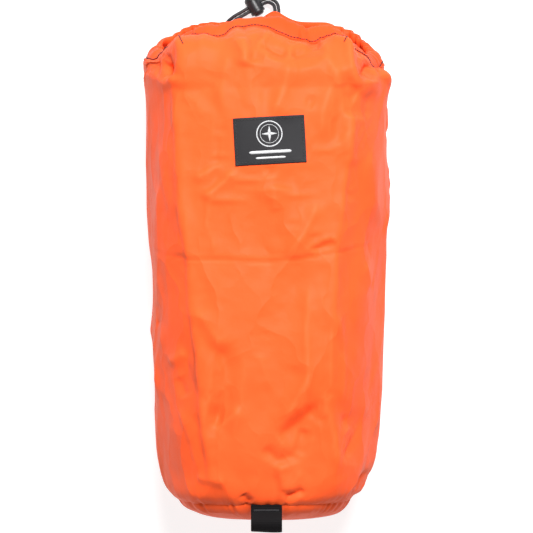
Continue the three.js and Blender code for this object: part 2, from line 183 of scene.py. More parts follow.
# Smaller folds of the front: kind, height, reach to each side, and the line in x and y.
RIDGE, VALLEY, STEP = "ridge", "valley", "step"
FOLDS = [
    (RIDGE, 5.1, 12, [(-68, 186), (-70, 169), (-72, 158), (-76, 141)]),
    (VALLEY, 6.2, 11, [(-78, 176), (-80, 160), (-79, 148)]),
    (RIDGE, 2.7, 9, [(-76, 141), (-72, 105), (-70, 60), (-65, 20), (-62, 6)]),
    (RIDGE, 2.7, 9, [(-62, -1), (-62, -26), (-54, -70), (-51, -108), (-47, -143), (-44, -172)]),
    (RIDGE, 5.5, 12, [(64, 184), (68, 158), (77, 142)]),
    (VALLEY, 7, 11, [(70, 184), (74, 165), (79, 146)]),
    (VALLEY, 4.3, 12, [(77, 142), (70, 134), (67, 118)]),
    (RIDGE, 2.5, 9, [(70, 136), (67, 105), (64, 74), (58, 32), (57, 12)]),
    (RIDGE, 2.7, 8, [(55, 6), (54, -20), (51, -60), (51, -122)]),
    (STEP, 1.43, 9, [(-98, 18), (-89, 11), (-75, 8), (-62, 5), (-37, 5), (-2, 3), (22, 5), (56, 10),
                    (70, 14), (99, 21)]),
    (VALLEY, 6.2, 12, [(-99, 168), (-88, 160), (-74, 154)]),
    (RIDGE, 3.8, 11, [(-100, 162), (-88, 152), (-77, 141)]),
    (RIDGE, 4.3, 12, [(102, 160), (90, 152), (78, 142)]),
    (VALLEY, 5.8, 12, [(97, 172), (86, 162), (80, 150)]),
    (RIDGE, 3.2, 16, [(19, 164), (15, 145), (11, 134), (5, 118)]),
    (VALLEY, 5.1, 11, [(-4, 182), (6, 172), (18, 168)]),
    (VALLEY, 5.1, 11, [(44, 181), (32, 172), (19, 168)]),
    (RIDGE, 3.1, 11, [(-20, 184), (-17, 170), (-18, 158)]),
    (VALLEY, 3.2, 8, [(-12, 186), (-9, 172), (-11, 160)]),
    (RIDGE, 2.7, 14, [(62, 166), (52, 144), (45, 122), (42, 100)]),
    (RIDGE, 2.5, 7, [(-24, 77), (-32, 68), (-43, 58), (-53, 52)]),
    (RIDGE, 2, 7, [(-35, 80), (-47, 74), (-58, 67)]),
    (VALLEY, 1.7, 5, [(1, 79), (2, 70)]),
    (RIDGE, 1.7, 8, [(5, 66), (8, 42)]),
    (RIDGE, 3.2, 11, [(42, 52), (30, 25), (15, 5)]),
    (VALLEY, 3.2, 8, [(55, 20), (47, 14), (38, 10)]),
    (VALLEY, 2.7, 8, [(37, 26), (39, 10)]),
    (RIDGE, 3.1, 14, [(81, 96), (86, 53), (93, 28)]),
    (VALLEY, 5.8, 12, [(-36, -62), (-34, -84), (-36, -110), (-44, -138)]),
    (RIDGE, 3.1, 11, [(-56, -34), (-44, -52), (-34, -68)]),
    (RIDGE, 4.7, 16, [(35, -10), (31, -53), (33, -88), (9, -136)]),
    (VALLEY, 4.7, 12, [(40, -112), (26, -126), (9, -138)]),
    (RIDGE, 3.2, 8, [(40, -116), (45, -106), (51, -126), (58, -167)]),
    (VALLEY, 5.1, 12, [(58, -118), (66, -127), (73, -130), (64, -160)]),
    (RIDGE, 3.2, 7, [(55, -36), (59, -60), (60, -86), (58, -116)]),
    (VALLEY, 2.7, 7, [(30, -130), (24, -152)]),
    (VALLEY, 3.1, 7, [(-4, -146), (9, -156), (28, -152)]),
    (RIDGE, 2.7, 7, [(10, -158), (15, -182)]),
    (RIDGE, 2.7, 9, [(-20, -114), (-43, -134)]),
    (RIDGE, 2.5, 8, [(-79, -80), (-64, -70)]),
    (VALLEY, 2.5, 8, [(-72, -90), (-64, -106)]),
    (RIDGE, 2.5, 8, [(-56, -169), (-32, -174)]),
    (VALLEY, 4.9, 7, [(84, -168), (76, -182), (66, -191)]),
    (VALLEY, 3.2, 5, [(-20, -184), (-13, -192)]),
    (VALLEY, 3.8, 5, [(15, -189), (31, -181)]),
]

# The domed bottom: y and share of the bottom seam's width and height.
DOME = [(-192.9, 1.0), (-194.2, 0.99), (-196.4, 0.97), (-200.0, 0.92), (-203.8, 0.82),
        (-206.8, 0.68), (-209.0, 0.5), (-210.2, 0.28), (-210.6, 0.1), (-210.7, 0.0)]
RIM_HEIGHT = 94.5  # of the middle of the bottom seam
RIM_RADIUS = 78.0  # its mean radius

LABEL_CENTRE = (2.6, 99.4)  # x and y
LABEL_SIZE = (57.0, 38.0)
LABEL_TURN = math.radians(3.2)
LABEL_THICKNESS = 0.8

LOOP_WIDTH = 25.0
WEBBING = 1.3  # its thickness
RIB_PITCH = 1.3

LOCK_CENTRE = (-10.0, 225.5, 6.7)
LOCK_TURN = math.radians(30)  # of the cords in it, from the x axis

TAIL_LEFT = [
    (2.2, 206, 20.3), (4.5, 206.8, 20.2), (6.5, 209, 20), (7.3, 212.2, 19.4), (7.3, 217, 17.2),
    (7.2, 222.6, 13.6), (6.4, 225.8, 11.6), (4.1, 228, 9.7), (0.9, 229, 7.9), (-2.2, 228.1, 6.9),
    (-5.7, 226.1, 6.7), (-9.2, 224.1, 6.7), (-16.1, 220.1, 6.7), (-21.3, 217.1, 6.7),
    (-26.3, 214.2, 6.5), (-30.4, 211.1, 4.9), (-34, 206.8, 2.9), (-37.2, 201.4, 1.9),
    (-41.2, 195.7, 1.7), (-47.3, 190.9, 1.7), (-54.8, 188.6, 1.7), (-63, 187.9, 1.7),
    (-71, 188.1, 2), (-78, 189, 3.4),
]
TAIL_RIGHT = [
    (15.5, 206, 20.3), (13.3, 206.8, 20.2), (11.4, 209, 20), (10.6, 212.2, 19.4),
    (10.6, 217, 17.2), (10.6, 222.6, 13.6), (9.3, 227.5, 11.4), (5.8, 230.9, 9.5),
    (0.9, 232.3, 7.9), (-3.9, 230.9, 6.9), (-7.3, 228.9, 6.7), (-10.8, 226.9, 6.7),
    (-17.8, 222.9, 6.7), (-23, 219.9, 6.7), (-28.2, 216.9, 6.5), (-32.8, 213.4, 4.9),
    (-36.9, 208.4, 2.9), (-40.3, 203, 1.9), (-43.9, 198, 1.7), (-48.9, 194.1, 1.7),
    (-55.3, 192, 1.7), (-63, 191.3, 1.7), (-71, 191.5, 2), (-78, 192.3, 3.4),
]
TAILS = [  # name, points, length in metres from the hem to the knot, side of the knot's middle
    ("left", TAIL_LEFT, 0.127, -1),
    ("right", TAIL_RIGHT, 0.131, 1),
]
KNOT_CENTRE = (-84.4, 190.9, 5.4)

SENSOR = 36  # of the camera, in millimetres
LENS = 162
CAMERA_PLACE = (0, -0.00125, 2.098)
FLOOR_HALF = 6000
SKY_STRENGTH = 0.25
LIGHTS = [  # name, place and size in metres, power
    ("key", (0.2, 1.05, 2.1), (0.7, 0.6), 88),
    ("left", (-1.7, 0.1, 0.75), (0.5, 1.6), 1.0),
    ("right", (1.7, 0.1, 0.75), (0.5, 1.6), 0.5),
]


# ---- mesh helpers ----
def link(name, data):
    """An object of some data, in the scene."""
    obj = bpy.data.objects.new(name, data)
    bpy.context.scene.collection.objects.link(obj)
    return obj


def run_along(points):
    """Distance run along a line, at each of its points."""
    return np.concatenate([[0], np.cumsum(np.linalg.norm(np.diff(points, axis=0), axis=1))])


def unit(vectors):
    """The rows of an array, each made one long."""
    return vectors / np.linalg.norm(vectors, axis=1)[:, None]


def new_object(name, points, faces, smooth=True):
    """A mesh object from points in millimetres."""
    mesh = bpy.data.meshes.new(name)
    mesh.from_pydata((np.asarray(points, float) * MM).tolist(), [], [tuple(f) for f in faces])
    mesh.validate()
    mesh.polygons.foreach_set("use_smooth", [smooth] * len(mesh.polygons))
    mesh.update()
    return link(name, mesh)


def grid_faces(rows, columns, around=True, start=0):
    """Quads of a grid of rows x columns points, closed round if around is true."""
    steps = columns if around else columns - 1
    i, j = np.meshgrid(np.arange(rows - 1), np.arange(steps), indexing="ij")
    k = (j + 1) % columns
    quads = np.stack([i * columns + j, i * columns + k, (i + 1) * columns + k,
                      (i + 1) * columns + j], axis=-1)
    return (quads.reshape(-1, 4) + start).tolist()


def give_uv(obj, uv):
    """One uv per point, on a layer named cloth."""
    layer = obj.data.uv_layers.new(name="cloth")
    index = np.zeros(len(obj.data.loops), int)
    obj.data.loops.foreach_get("vertex_index", index)
    layer.data.foreach_set("uv", np.asarray(uv, float)[index].ravel())


def give_attribute(obj, name, values):
    attribute = obj.data.attributes.new(name, "FLOAT", "POINT")
    attribute.data.foreach_set("value", np.asarray(values, np.float32).ravel())


def apply_modifiers(obj):
    """Replaces the object's mesh by what its modifiers make of it."""
    graph = bpy.context.evaluated_depsgraph_get()
    mesh = bpy.data.meshes.new_from_object(obj.evaluated_get(graph))
    obj.modifiers.clear()
    obj.data = mesh
    return obj


def face_outwards(obj):
    """Turns every face of a mesh to the same side, the outer one if it is closed."""
    mesh = bmesh.new()
    mesh.from_mesh(obj.data)
    bmesh.ops.recalc_face_normals(mesh, faces=mesh.faces)
    mesh.to_mesh(obj.data)
    mesh.free()
    return obj


def thicken(obj, thickness, offset=-1.0):
    solid = obj.modifiers.new("thickness", "SOLIDIFY")
    solid.thickness = thickness * MM
    solid.offset = offset
    return apply_modifiers(obj)


def bevel(obj, width, sharper):
    """Rounds the edges that are sharper than an angle in degrees."""
    edges = obj.modifiers.new("edges", "BEVEL")
    edges.width, edges.segments = width * MM, 2
    edges.limit_method, edges.angle_limit = "ANGLE", math.radians(sharper)
    return apply_modifiers(obj)


def surface_of(points):
    """A grid of points that is closed round its columns, ready to be hit by rays."""
    return BVHTree.FromPolygons([tuple(p) for p in points.reshape(-1, 3)],
                                grid_faces(*points.shape[:2]))


def box_middle(node):
    """Middle of a CAD node's box, in millimetres."""
    low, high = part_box(node)
    return (low + high) / 2 / MM


def join(objects, name):
    """One object out of several, by mesh data."""
    mesh = bmesh.new()
    for o in objects:
        mesh.from_mesh(o.data)
        bpy.data.objects.remove(o)
    data = bpy.data.meshes.new(name)
    mesh.to_mesh(data)
    mesh.free()
    return link(name, data)


def hermite(knots, values, at):
    """Smooth curve through values at the knots, read at each of at."""
    knots, values, at = (np.asarray(a, float) for a in (knots, values, at))
    slope = np.gradient(values, knots, axis=0)
    i = np.clip(np.searchsorted(knots, at, side="right") - 1, 0, len(knots) - 2)
    h = knots[i + 1] - knots[i]
    t = (at - knots[i]) / h
    if values.ndim > 1:
        h, t = h[:, None], t[:, None]
    a = (1 + 2 * t) * (1 - t) ** 2 * values[i] + t * (1 - t) ** 2 * h * slope[i]
    return a + t * t * (3 - 2 * t) * values[i + 1] + t * t * (t - 1) * h * slope[i + 1]


def smoothstep(low, high, v):
    t = np.clip((np.asarray(v, float) - low) / (high - low), 0, 1)
    return t * t * (3 - 2 * t)


def sample(line, along, at):
    """Points of a line at some distances along it."""
    return np.stack([np.interp(at, along, line[:, k]) for k in range(3)], axis=1)


def route(points, step):
    """The points of a smooth open curve, a step apart, in millimetres."""
    points = np.asarray(points, float)
    chord = run_along(points)
    fine = hermite(chord, points, np.linspace(0, chord[-1], 40 * len(points)))
    along = run_along(fine)
    return sample(fine, along, np.linspace(0, along[-1], max(3, round(along[-1] / step) + 1)))


def sweep_frames(points):
    """Side and upper vectors along a line, turned as little as possible."""
    tangent = unit(np.gradient(points, axis=0))
    side = np.zeros_like(points)
    last = np.cross((0, 0, 1), tangent[0])
    for i, t in enumerate(tangent):
        last = last - t * np.dot(last, t)
        last = last / np.linalg.norm(last)
        side[i] = last
    return side, np.cross(tangent, side)


def rings_about(points, side, above, angle, radii):
    """Rings of points round a line."""
    rim = (side[:, None, :] * np.cos(angle)[None, :, None]
           + above[:, None, :] * np.sin(angle)[None, :, None])
    return points[:, None, :] + rim * radii[:, :, None]


def tube(name, points, radius, sides, relief):
    """A round-ended tube along a line. relief(s, angle) adds to the radius."""
    along = run_along(points)
    angle = np.linspace(0, 2 * PI, sides, endpoint=False)
    radii = np.full(len(points), float(radius))
    for k, share in enumerate((0.45, 0.8, 0.95)):
        radii[k] *= share
        radii[-1 - k] *= share
    r = radii[:, None] + relief(along[:, None], angle[None, :])
    body = rings_about(points, *sweep_frames(points), angle, r).reshape(-1, 3)
    faces = grid_faces(len(points), sides)
    first, last, end = len(body), len(body) + 1, len(body) - sides
    for j in range(sides):
        k = (j + 1) % sides
        faces += [[first, k, j], [last, end + j, end + k]]
    obj = new_object(name, np.vstack([body, points[0], points[-1]]), [f[::-1] for f in faces])
    uv = np.stack(np.broadcast_arrays(angle[None, :] * radius * MM, along[:, None] * MM), axis=-1)
    give_uv(obj, np.vstack([uv.reshape(-1, 2), [[0, 0], [0, along[-1] * MM]]]))
    return obj


def lathe(name, profile, steps=64):
    """A closed solid from a profile of (radius, height) about local Z, in millimetres."""
    mesh = bmesh.new()
    turn = [(math.cos(2 * PI * k / steps), math.sin(2 * PI * k / steps)) for k in range(steps)]
    rings = [[mesh.verts.new((r * c * MM, r * s * MM, z * MM))
              for c, s in (turn if r else [(0, 0)])] for r, z in profile]
    for a, b in zip(rings, rings[1:]):
        for k in range(steps):
            n = (k + 1) % steps
            if len(a) == 1:
                mesh.faces.new((a[0], b[n], b[k]))
            elif len(b) == 1:
                mesh.faces.new((a[k], a[n], b[0]))
            else:
                mesh.faces.new((a[k], a[n], b[n], b[k]))
    bmesh.ops.recalc_face_normals(mesh, faces=mesh.faces)
    data = bpy.data.meshes.new(name)
    mesh.to_mesh(data)
    mesh.free()
    return link(name, data)


def shade(obj, angle=35):
    """Smooth shading, with edges sharper than angle kept."""
    obj.data.polygons.foreach_set("use_smooth", [True] * len(obj.data.polygons))
    obj.data.set_sharp_from_angle(angle=math.radians(angle))
    return obj


# ---- materials ----
def colour(red, green, blue):
    """A display colour of 0 to 255 as linear values."""
    def linear(c):
        c /= 255
        return c / 12.92 if c <= 0.04045 else ((c + 0.055) / 1.055) ** 2.4
    return (linear(red), linear(green), linear(blue), 1.0)


class Nodes:
    """A short way to write a material's nodes."""

    def __init__(self, name):
        self.material = bpy.data.materials.new(name)
        self.material.use_nodes = True
        self.tree = self.material.node_tree
        self.shader = self.tree.nodes["Principled BSDF"]

    def add(self, kind, inputs=(), **settings):
        node = self.tree.nodes.new("ShaderNode" + kind)
        for key, value in settings.items():
            setattr(node, key, value)
        for socket, value in dict(inputs).items():
            self.feed(node.inputs[socket], value)
        return node

    def feed(self, socket, value):
        if isinstance(value, bpy.types.NodeSocket):
            self.tree.links.new(value, socket)
        elif isinstance(value, bpy.types.Node):
            self.tree.links.new(value.outputs[0], socket)
        else:
            socket.default_value = value

    def math(self, operation, a, b=0.0):
        return self.add("Math", {0: a, 1: b}, operation=operation).outputs[0]

    def times(self, a, b):
        return self.math("MULTIPLY", a, b)

    def plus(self, a, b):
        return self.math("ADD", a, b)

    def place(self):
        """The position in the object's own axes."""
        return self.add("TexCoord").outputs["Object"]

    def cloth(self):
        """The position on the unrolled cloth, and its x and y alone."""
        both = self.add("UVMap", uv_map="cloth").outputs["UV"]
        split = self.add("SeparateXYZ", {0: both})
        return both, split.outputs["X"], split.outputs["Y"]

    def ripple(self, value, per_metre):
        return self.math("SINE", self.times(value, per_metre))

    def stretched(self, vector, scale, detail=3.0, roughness=0.5):
        """Noise with a scale of its own along each axis."""
        scaled = self.add("Mapping", {"Vector": vector, "Scale": scale})
        return self.noise(scaled, 1.0, detail, roughness)

    def noise(self, vector, scale, detail=3.0, roughness=0.5):
        inputs = {"Vector": vector, "Scale": scale, "Detail": detail, "Roughness": roughness}
        return self.add("TexNoise", inputs).outputs["Fac"]

    def ramp(self, factor, stops):
        """A colour that goes from one stop to the other; a stop is a position and a colour."""
        node = self.add("ValToRGB", {"Fac": factor})
        for element, (position, value) in zip(node.color_ramp.elements, stops):
            element.position, element.color = position, value
        return node.outputs["Color"]

    def set(self, **values):
        for key, value in values.items():
            self.feed(self.shader.inputs[key.replace("_", " ")], value)

    def bump(self, height, strength, distance, normal=None):
        inputs = {"Height": height, "Strength": strength, "Distance": distance}
        if normal is not None:
            inputs["Normal"] = normal
        return self.add("Bump", inputs).outputs["Normal"]


def grey(value):
    return (value, value, value, 1.0)


def greys(n, value, low, high):
    """A grey that goes from one value at 0.3 to another at 0.7."""
    return n.ramp(value, [(0.3, grey(low)), (0.7, grey(high))])


def nylon_material():
    """Coated nylon: crisp crumples over a fine weave. Two point attributes paint light into its
    colour: one paints a deeper red-orange as shade on and under the hem, the other paints the
    crests of folds paler, as a highlight with a little rubbing."""
    n = Nodes("nylon")
    place = n.place()
    cloth, x, y = n.cloth()
    pitch = 2 * PI / 0.00052
    weave = n.times(n.ripple(x, pitch), n.ripple(y, pitch * 0.9))
    slub = n.stretched(cloth, (2400, 90, 1), 2)
    slub_across = n.stretched(cloth, (90, 2400, 1), 2)
    threads = n.plus(n.times(slub, 0.5), n.times(slub_across, 0.5))
    patches = n.noise(place, 9.0, 4, 0.6)

    look = n.ramp(patches, [(0.3, colour(251, 89, 39)), (0.7, colour(254, 96, 46))])
    painted_shade = n.add("Attribute", attribute_name="painted_shade").outputs["Fac"]
    crest_highlight_and_rub = n.add("Attribute", attribute_name="crest_highlight_and_rub").outputs["Fac"]
    # painted light: a deeper red-orange is painted in as shade on and under the hem, and a paler
    # tint is painted on fold crests as a highlight with a little rubbing; the slub threads are the
    # cloth's own colour
    for factor, most, other in ((painted_shade, 0.55, colour(240, 58, 20)),
                                (crest_highlight_and_rub, 0.12, colour(240, 122, 66)),
                                (threads, 0.12, colour(246, 77, 27))):
        look = n.add("MixRGB", {"Fac": n.times(factor, most), "Color1": look,
                                "Color2": other}).outputs[0]
    n.set(Base_Color=look)
    n.set(Roughness=n.plus(0.42, n.times(patches, 0.14)))
    n.set(Specular_IOR_Level=0.1, IOR=1.42, Sheen_Weight=0.02, Sheen_Roughness=0.4)
    n.set(Sheen_Tint=colour(255, 170, 130))

    wander = n.add("TexNoise", {"Vector": cloth, "Scale": 22.0, "Detail": 2.0}).outputs["Color"]
    bent = n.add("MixRGB", {"Fac": 0.045, "Color1": cloth, "Color2": wander})
    cells = n.add("Mapping", {"Vector": bent, "Scale": (30, 15, 1)})
    facets = n.add("TexVoronoi", {"Vector": cells, "Scale": 1.0}, feature="F1")
    crumple = n.noise(cloth, 42.0, 5, 0.55)
    normal = None
    for height, strength, distance in ((facets.outputs["Distance"], 0.5, 0.011),
                                       (crumple, 0.7, 0.0011), (threads, 0.22, 0.00012),
                                       (weave, 0.16, 0.00008)):
        normal = n.bump(height, strength, distance, normal)
    n.set(Normal=normal)
    return n.material


def thread_material(name, dark, light):
    n = Nodes(name)
    twist = n.noise(n.place(), 900.0, 2)
    n.set(Base_Color=n.ramp(twist, [(0.35, dark), (0.7, light)]))
    n.set(Roughness=greys(n, twist, 0.5, 0.75), Sheen_Weight=0.06)
    n.set(Normal=n.bump(twist, 0.5, 0.0002))
    return n.material


def cord_material():
    """Black braid: eight crossing strands with a little fluff."""
    n = Nodes("cord")
    _, x, y = n.cloth()
    turns = n.times(x, 4 * 2 * PI / (PI * CORD * MM))
    runs = n.times(y, 2 * PI / (BRAID_PITCH * MM))
    left = n.math("SINE", n.plus(turns, runs))
    right = n.math("SINE", n.math("SUBTRACT", turns, runs))
    strands = n.math("MAXIMUM", left, right)
    fluff = n.noise(n.place(), 2600.0, 3)
    both = n.plus(n.times(strands, 0.3), n.times(fluff, 0.6))
    n.set(Base_Color=n.ramp(both, [(0.1, colour(14, 14, 16)), (0.8, colour(44, 43, 47))]))
    n.set(Roughness=greys(n, fluff, 0.5, 0.72), Sheen_Weight=0.35, Sheen_Roughness=0.4)
    n.set(Normal=n.bump(both, 0.6, 0.00025))
    return n.material


def plastic_material():
    n = Nodes("lock_plastic")
    place = n.place()
    spark = n.noise(place, 3200.0, 2)
    scuffs = n.stretched(place, (900, 160, 900), 5, 0.7)
    n.set(Base_Color=n.ramp(scuffs, [(0.35, colour(20, 20, 22)), (0.75, colour(42, 41, 44))]))
    n.set(Roughness=n.ramp(scuffs, [(0.3, grey(0.30)), (0.75, grey(0.52))]))
    n.set(Specular_IOR_Level=0.5, Normal=n.bump(spark, 0.18, 0.00006))
    return n.material


def steel_material():
    n = Nodes("spring_steel")
    drawn = n.stretched(n.place(), (600, 600, 4000))
    n.set(Base_Color=n.ramp(drawn, [(0.3, colour(150, 150, 152)), (0.7, colour(196, 196, 198))]))
    n.set(Roughness=greys(n, drawn, 0.24, 0.4), Metallic=1.0)
    n.set(Normal=n.bump(drawn, 0.2, 0.00004))
    return n.material


def webbing_material():
    n = Nodes("webbing")
    _, x, y = n.cloth()
    rib = n.ripple(y, 2 * PI / (RIB_PITCH * MM))
    yarn = n.ripple(x, 2 * PI / 0.0011)
    fluff = n.noise(n.place(), 2200.0, 3)
    both = n.plus(n.times(n.times(rib, yarn), 0.25), fluff)
    n.set(Base_Color=n.ramp(both, [(0.2, colour(5, 4, 5)), (0.9, colour(22, 19, 21))]))
    n.set(Roughness=greys(n, fluff, 0.55, 0.8))
    n.set(Sheen_Weight=0.04, Sheen_Roughness=0.45, Specular_IOR_Level=0.1)
    n.set(Normal=n.bump(both, 0.5, 0.00022))
    return n.material


def label_material(name, dark, light):
    n = Nodes(name)
    cloth, x, y = n.cloth()
    woven = n.times(n.ripple(x, 2 * PI / 0.0007), n.ripple(y, 2 * PI / 0.0009))
    satin = n.plus(n.times(woven, 0.3), n.noise(cloth, 1500.0, 3))
    n.set(Base_Color=n.ramp(satin, [(0.15, colour(*dark)), (0.95, colour(*light))]))
    n.set(Roughness=n.ramp(satin, [(0.2, grey(0.5)), (0.8, grey(0.72))]))
    n.set(Sheen_Weight=0.1, Sheen_Roughness=0.4, Specular_IOR_Level=0.3)
    n.set(Normal=n.bump(satin, 0.5, 0.00015))
    return n.material


def floor_material():
    n = Nodes("floor")
    n.set(Base_Color=greys(n, n.noise(n.place(), 3.0, 3), 0.34, 0.36), Roughness=0.9)
    n.set(Emission_Color=grey(1.0), Emission_Strength=0.81, Specular_IOR_Level=0.1)
    return n.material


NYLON = nylon_material()
HEM_THREAD = thread_material("hem_thread", colour(66, 16, 13), colour(108, 34, 24))
BLACK_THREAD = thread_material("black_thread", colour(16, 15, 17), colour(46, 44, 48))
CORD_BLACK = cord_material()
PLASTIC = plastic_material()
STEEL = steel_material()
WEBBING_BLACK = webbing_material()
LABEL_BLACK = label_material("label_weave", (10, 9, 12), (32, 30, 34))
LABEL_WHITE = label_material("label_yarn", (176, 176, 178), (226, 226, 228))
FLOOR = floor_material()


def finish_piece(obj, material, body="sack", replaces=()):
    """Gives a piece its material and its body, and hides the CAD nodes it stands for."""
    obj.data.materials.clear()
    obj.data.materials.append(material)
    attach(obj, body)
    if replaces:
        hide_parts(*replaces)
    return obj


# ---- camera, light and floor ----
def camera():
    data = bpy.data.cameras.new("camera")
    data.sensor_width, data.lens = SENSOR, LENS
    data.clip_start, data.clip_end = 0.05, 20
    obj = link("camera", data)
    obj.location = CAMERA_PLACE
    bpy.context.scene.camera = obj


def studio():
    """Soft lights that look at the middle of the sack, a plain sky and a pale floor."""
    middle = (cad_low + cad_high) / 2
    for name, place, size, power in LIGHTS:
        data = bpy.data.lights.new(name, "AREA")
        data.shape = "RECTANGLE"
        data.size, data.size_y = size
        data.energy = power
        obj = link(name, data)
        obj.location = place
        obj.rotation_euler = (middle - Vector(place)).to_track_quat("-Z", "Y").to_euler()
    world = bpy.data.worlds.new("studio")
    world.use_nodes = True
    sky = world.node_tree.nodes["Background"].inputs
    sky["Color"].default_value = grey(1)
    sky["Strength"].default_value = SKY_STRENGTH
    bpy.context.scene.world = world
    bpy.context.scene.view_settings.view_transform = "Standard"
    corners = [(-1, -1), (1, -1), (1, 1), (-1, 1)]
    floor = new_object("floor", [(x * FLOOR_HALF, y * FLOOR_HALF, 0) for x, y in corners],
                       [(0, 1, 2, 3)])
    floor.data.materials.append(FLOOR)


# ---- cords ----
def braid(s, angle):
    """Relief of eight crossing strands, in millimetres."""
    left = np.sin(4 * angle + 2 * PI * s / BRAID_PITCH)
    right = np.sin(4 * angle - 2 * PI * s / BRAID_PITCH)
    return 0.09 * np.maximum(left, right) - 0.03


def knot_strand(side):
    """One of the two strands of the overhand knot, from its tail to its free end."""
    t = np.linspace(0.16 * PI, 1.84 * PI, 44)
    x = np.sin(t) + 2 * np.sin(2 * t)
    y = np.cos(t) - 2 * np.cos(2 * t)
    loop = np.stack([y * 1.25, x * 1.25, -np.sin(3 * t) * 1.45], axis=1)
    loop = np.array(KNOT_CENTRE) + (loop + side * np.array([0.9, 0.35, 0.95]))
    return loop if loop[0][0] > loop[-1][0] else loop[::-1]


def cords():
    """The two free tails of the cord, and the knot that joins them."""
    tails, strands = [], []
    for name, points, _, side in TAILS:
        strand = knot_strand(side)
        end = strand[-1] + np.array([-3.5, side * 1.3, -2.6])
        line = route(np.vstack([[points[-1]], strand[1:], [end]]), 0.6)
        line[:, 2] = np.maximum(line[:, 2], CORD / 2 + 0.2)
        strands.append(tube("strand_" + name, line, CORD / 2 - 0.12, 16, braid))
        tails.append(tube("cord_tail_" + name + "_braid", route(points, 0.5), CORD / 2, 24, braid))
    knot = finish_piece(join(strands, "tail_knot_strands"), CORD_BLACK, "sack",
                        ["tail_knot"])
    for obj, (name, points, length, _) in zip(tails, TAILS):
        finish_piece(obj, CORD_BLACK, "sack", ["cord_tail_" + name])


# ---- the sack's cloth as one grid ----
def power(v, exponent):
    return np.sign(v) * np.abs(v) ** (2 / exponent)


def even_angles(count):
    """Angles of points an equal length apart round a section, from the middle of the underside."""
    a = np.linspace(0, 2 * PI, 20001)
    x = SECTION_HALF[0] * power(np.sin(a), SQUARENESS)
    z = SECTION_HALF[1] * power(np.cos(a), SQUARENESS)
    along = np.concatenate([[0], np.cumsum(np.hypot(np.diff(x), np.diff(z)))])
    return np.interp(np.linspace(0, along[-1], count, endpoint=False), along, a)


def waves(u, v, count, lowest, highest, seed, stretch=1.0):
    """Smooth noise between about -1 and 1, periodic in u (0 to 1), v in units of the girth."""
    own = np.random.default_rng(seed)
    total = np.zeros(np.broadcast(u, v).shape)
    for _ in range(count):
        around = own.integers(lowest, highest + 1) * own.choice([-1, 1])
        along = own.uniform(-highest, highest) * stretch
        total += np.cos(2 * PI * (around * u + along * v) + own.uniform(0, 2 * PI))
    return total / math.sqrt(count / 2) / 1.6


def ring_waves(u, *how):
    """Waves that change only round the sack."""
    return waves(u, 0 * u, *how)


def puckers(turns, mean=SINE_MEAN):
    """Rounded folds side by side, one for each whole turn, about zero on average."""
    return np.abs(np.sin(PI * turns)) - mean


def seam_puckers(u):
    """The puckers of the bottom seam, and how uneven they are."""
    return (puckers(SEAM_PUCKERS * u + 1.2 * ring_waves(u, 7, 2, 11, 41)),
            ring_waves(u, 7, 3, 14, 42))


def from_underside(angle):
    """Degrees from the middle of the underside, the same to the left and to the right."""
    return np.degrees(np.minimum(angle, 2 * PI - angle))


def frontness(angle):
    """0 at the back and the sides of the mouth, 1 at its front."""
    return smoothstep(112, 132, from_underside(angle))


def line_distance(x, y, line):
    """Distance to a broken line, side of it (-1 or 1) and share of the way along it."""
    line = np.asarray(line, float)
    lengths = np.linalg.norm(np.diff(line, axis=0), axis=1)
    total = lengths.sum()
    best = np.full(x.shape, 1e9)
    side = np.ones(x.shape)
    share = np.zeros(x.shape)
    done = 0.0
    for (x0, y0), (x1, y1), length in zip(line[:-1], line[1:], lengths):
        dx, dy = (x1 - x0) / length, (y1 - y0) / length
        t = np.clip((x - x0) * dx + (y - y0) * dy, 0, length)
        px, py = x - x0 - t * dx, y - y0 - t * dy
        d = np.hypot(px, py)
        closer = d < best
        best = np.where(closer, d, best)
        side = np.where(closer, np.where(dx * py - dy * px >= 0, 1.0, -1.0), side)
        share = np.where(closer, (done + t) / total, share)
        done += length
    return best, side, share


def fold_height(x, y, kind, height, reach, line):
    """A fold as two flat facets that meet in a rounded crest along the line."""
    d, side, share = line_distance(x, y, line)
    ends = np.clip(np.minimum(share, 1 - share) * 4 + 0.15, 0, 1)
    ends = ends * ends * (3 - 2 * ends)
    if kind == STEP:
        soft = np.exp(-d / (reach * 0.55))
        return (0.5 * height * ends * soft * np.tanh(side * d / 1.0)
                - 0.6 * height * ends * np.exp(-(d / 1.4) ** 2))
    wide = reach * np.where(side > 0, 1.0 + FOLD_LEAN, 1.0 - FOLD_LEAN)
    away = (np.sqrt(d * d + CREST ** 2) - CREST) / wide
    bump = height * ends * np.clip(1 - away, 0, 1) ** 1.4
    return -bump if kind == VALLEY else bump


def scattered_folds(around, along, count, seed):
    """Short, nearly lengthwise folds spread over the whole sack, in the cloth's own millimetres."""
    own = np.random.default_rng(seed)
    total = np.zeros(around.shape)
    for _ in range(count):
        start = np.array([own.uniform(0, CUT_AROUND), own.uniform(0, 390)])
        lean, bend = own.normal(0, 0.42), own.normal(0, 0.3)
        length = own.uniform(20, 80)
        middle = start + 0.5 * length * np.array([math.sin(lean), math.cos(lean)])
        end = middle + 0.5 * length * np.array([math.sin(lean + bend), math.cos(lean + bend)])
        near = (around - start[0] + CUT_AROUND / 2) % CUT_AROUND - CUT_AROUND / 2 + start[0]
        kind = RIDGE if own.random() < 0.55 else VALLEY
        total += fold_height(near, along, kind, own.uniform(1.0, 3.4), own.uniform(6, 15),
                             [start, middle, end])
    return total


def grid_normals(points):
    """Outward normals of a grid that is closed round its columns."""
    across = np.roll(points, -1, axis=1) - np.roll(points, 1, axis=1)
    along = np.gradient(points, axis=0)
    normal = np.cross(along, across)
    return normal / np.maximum(np.linalg.norm(normal, axis=2), 1e-9)[:, :, None]


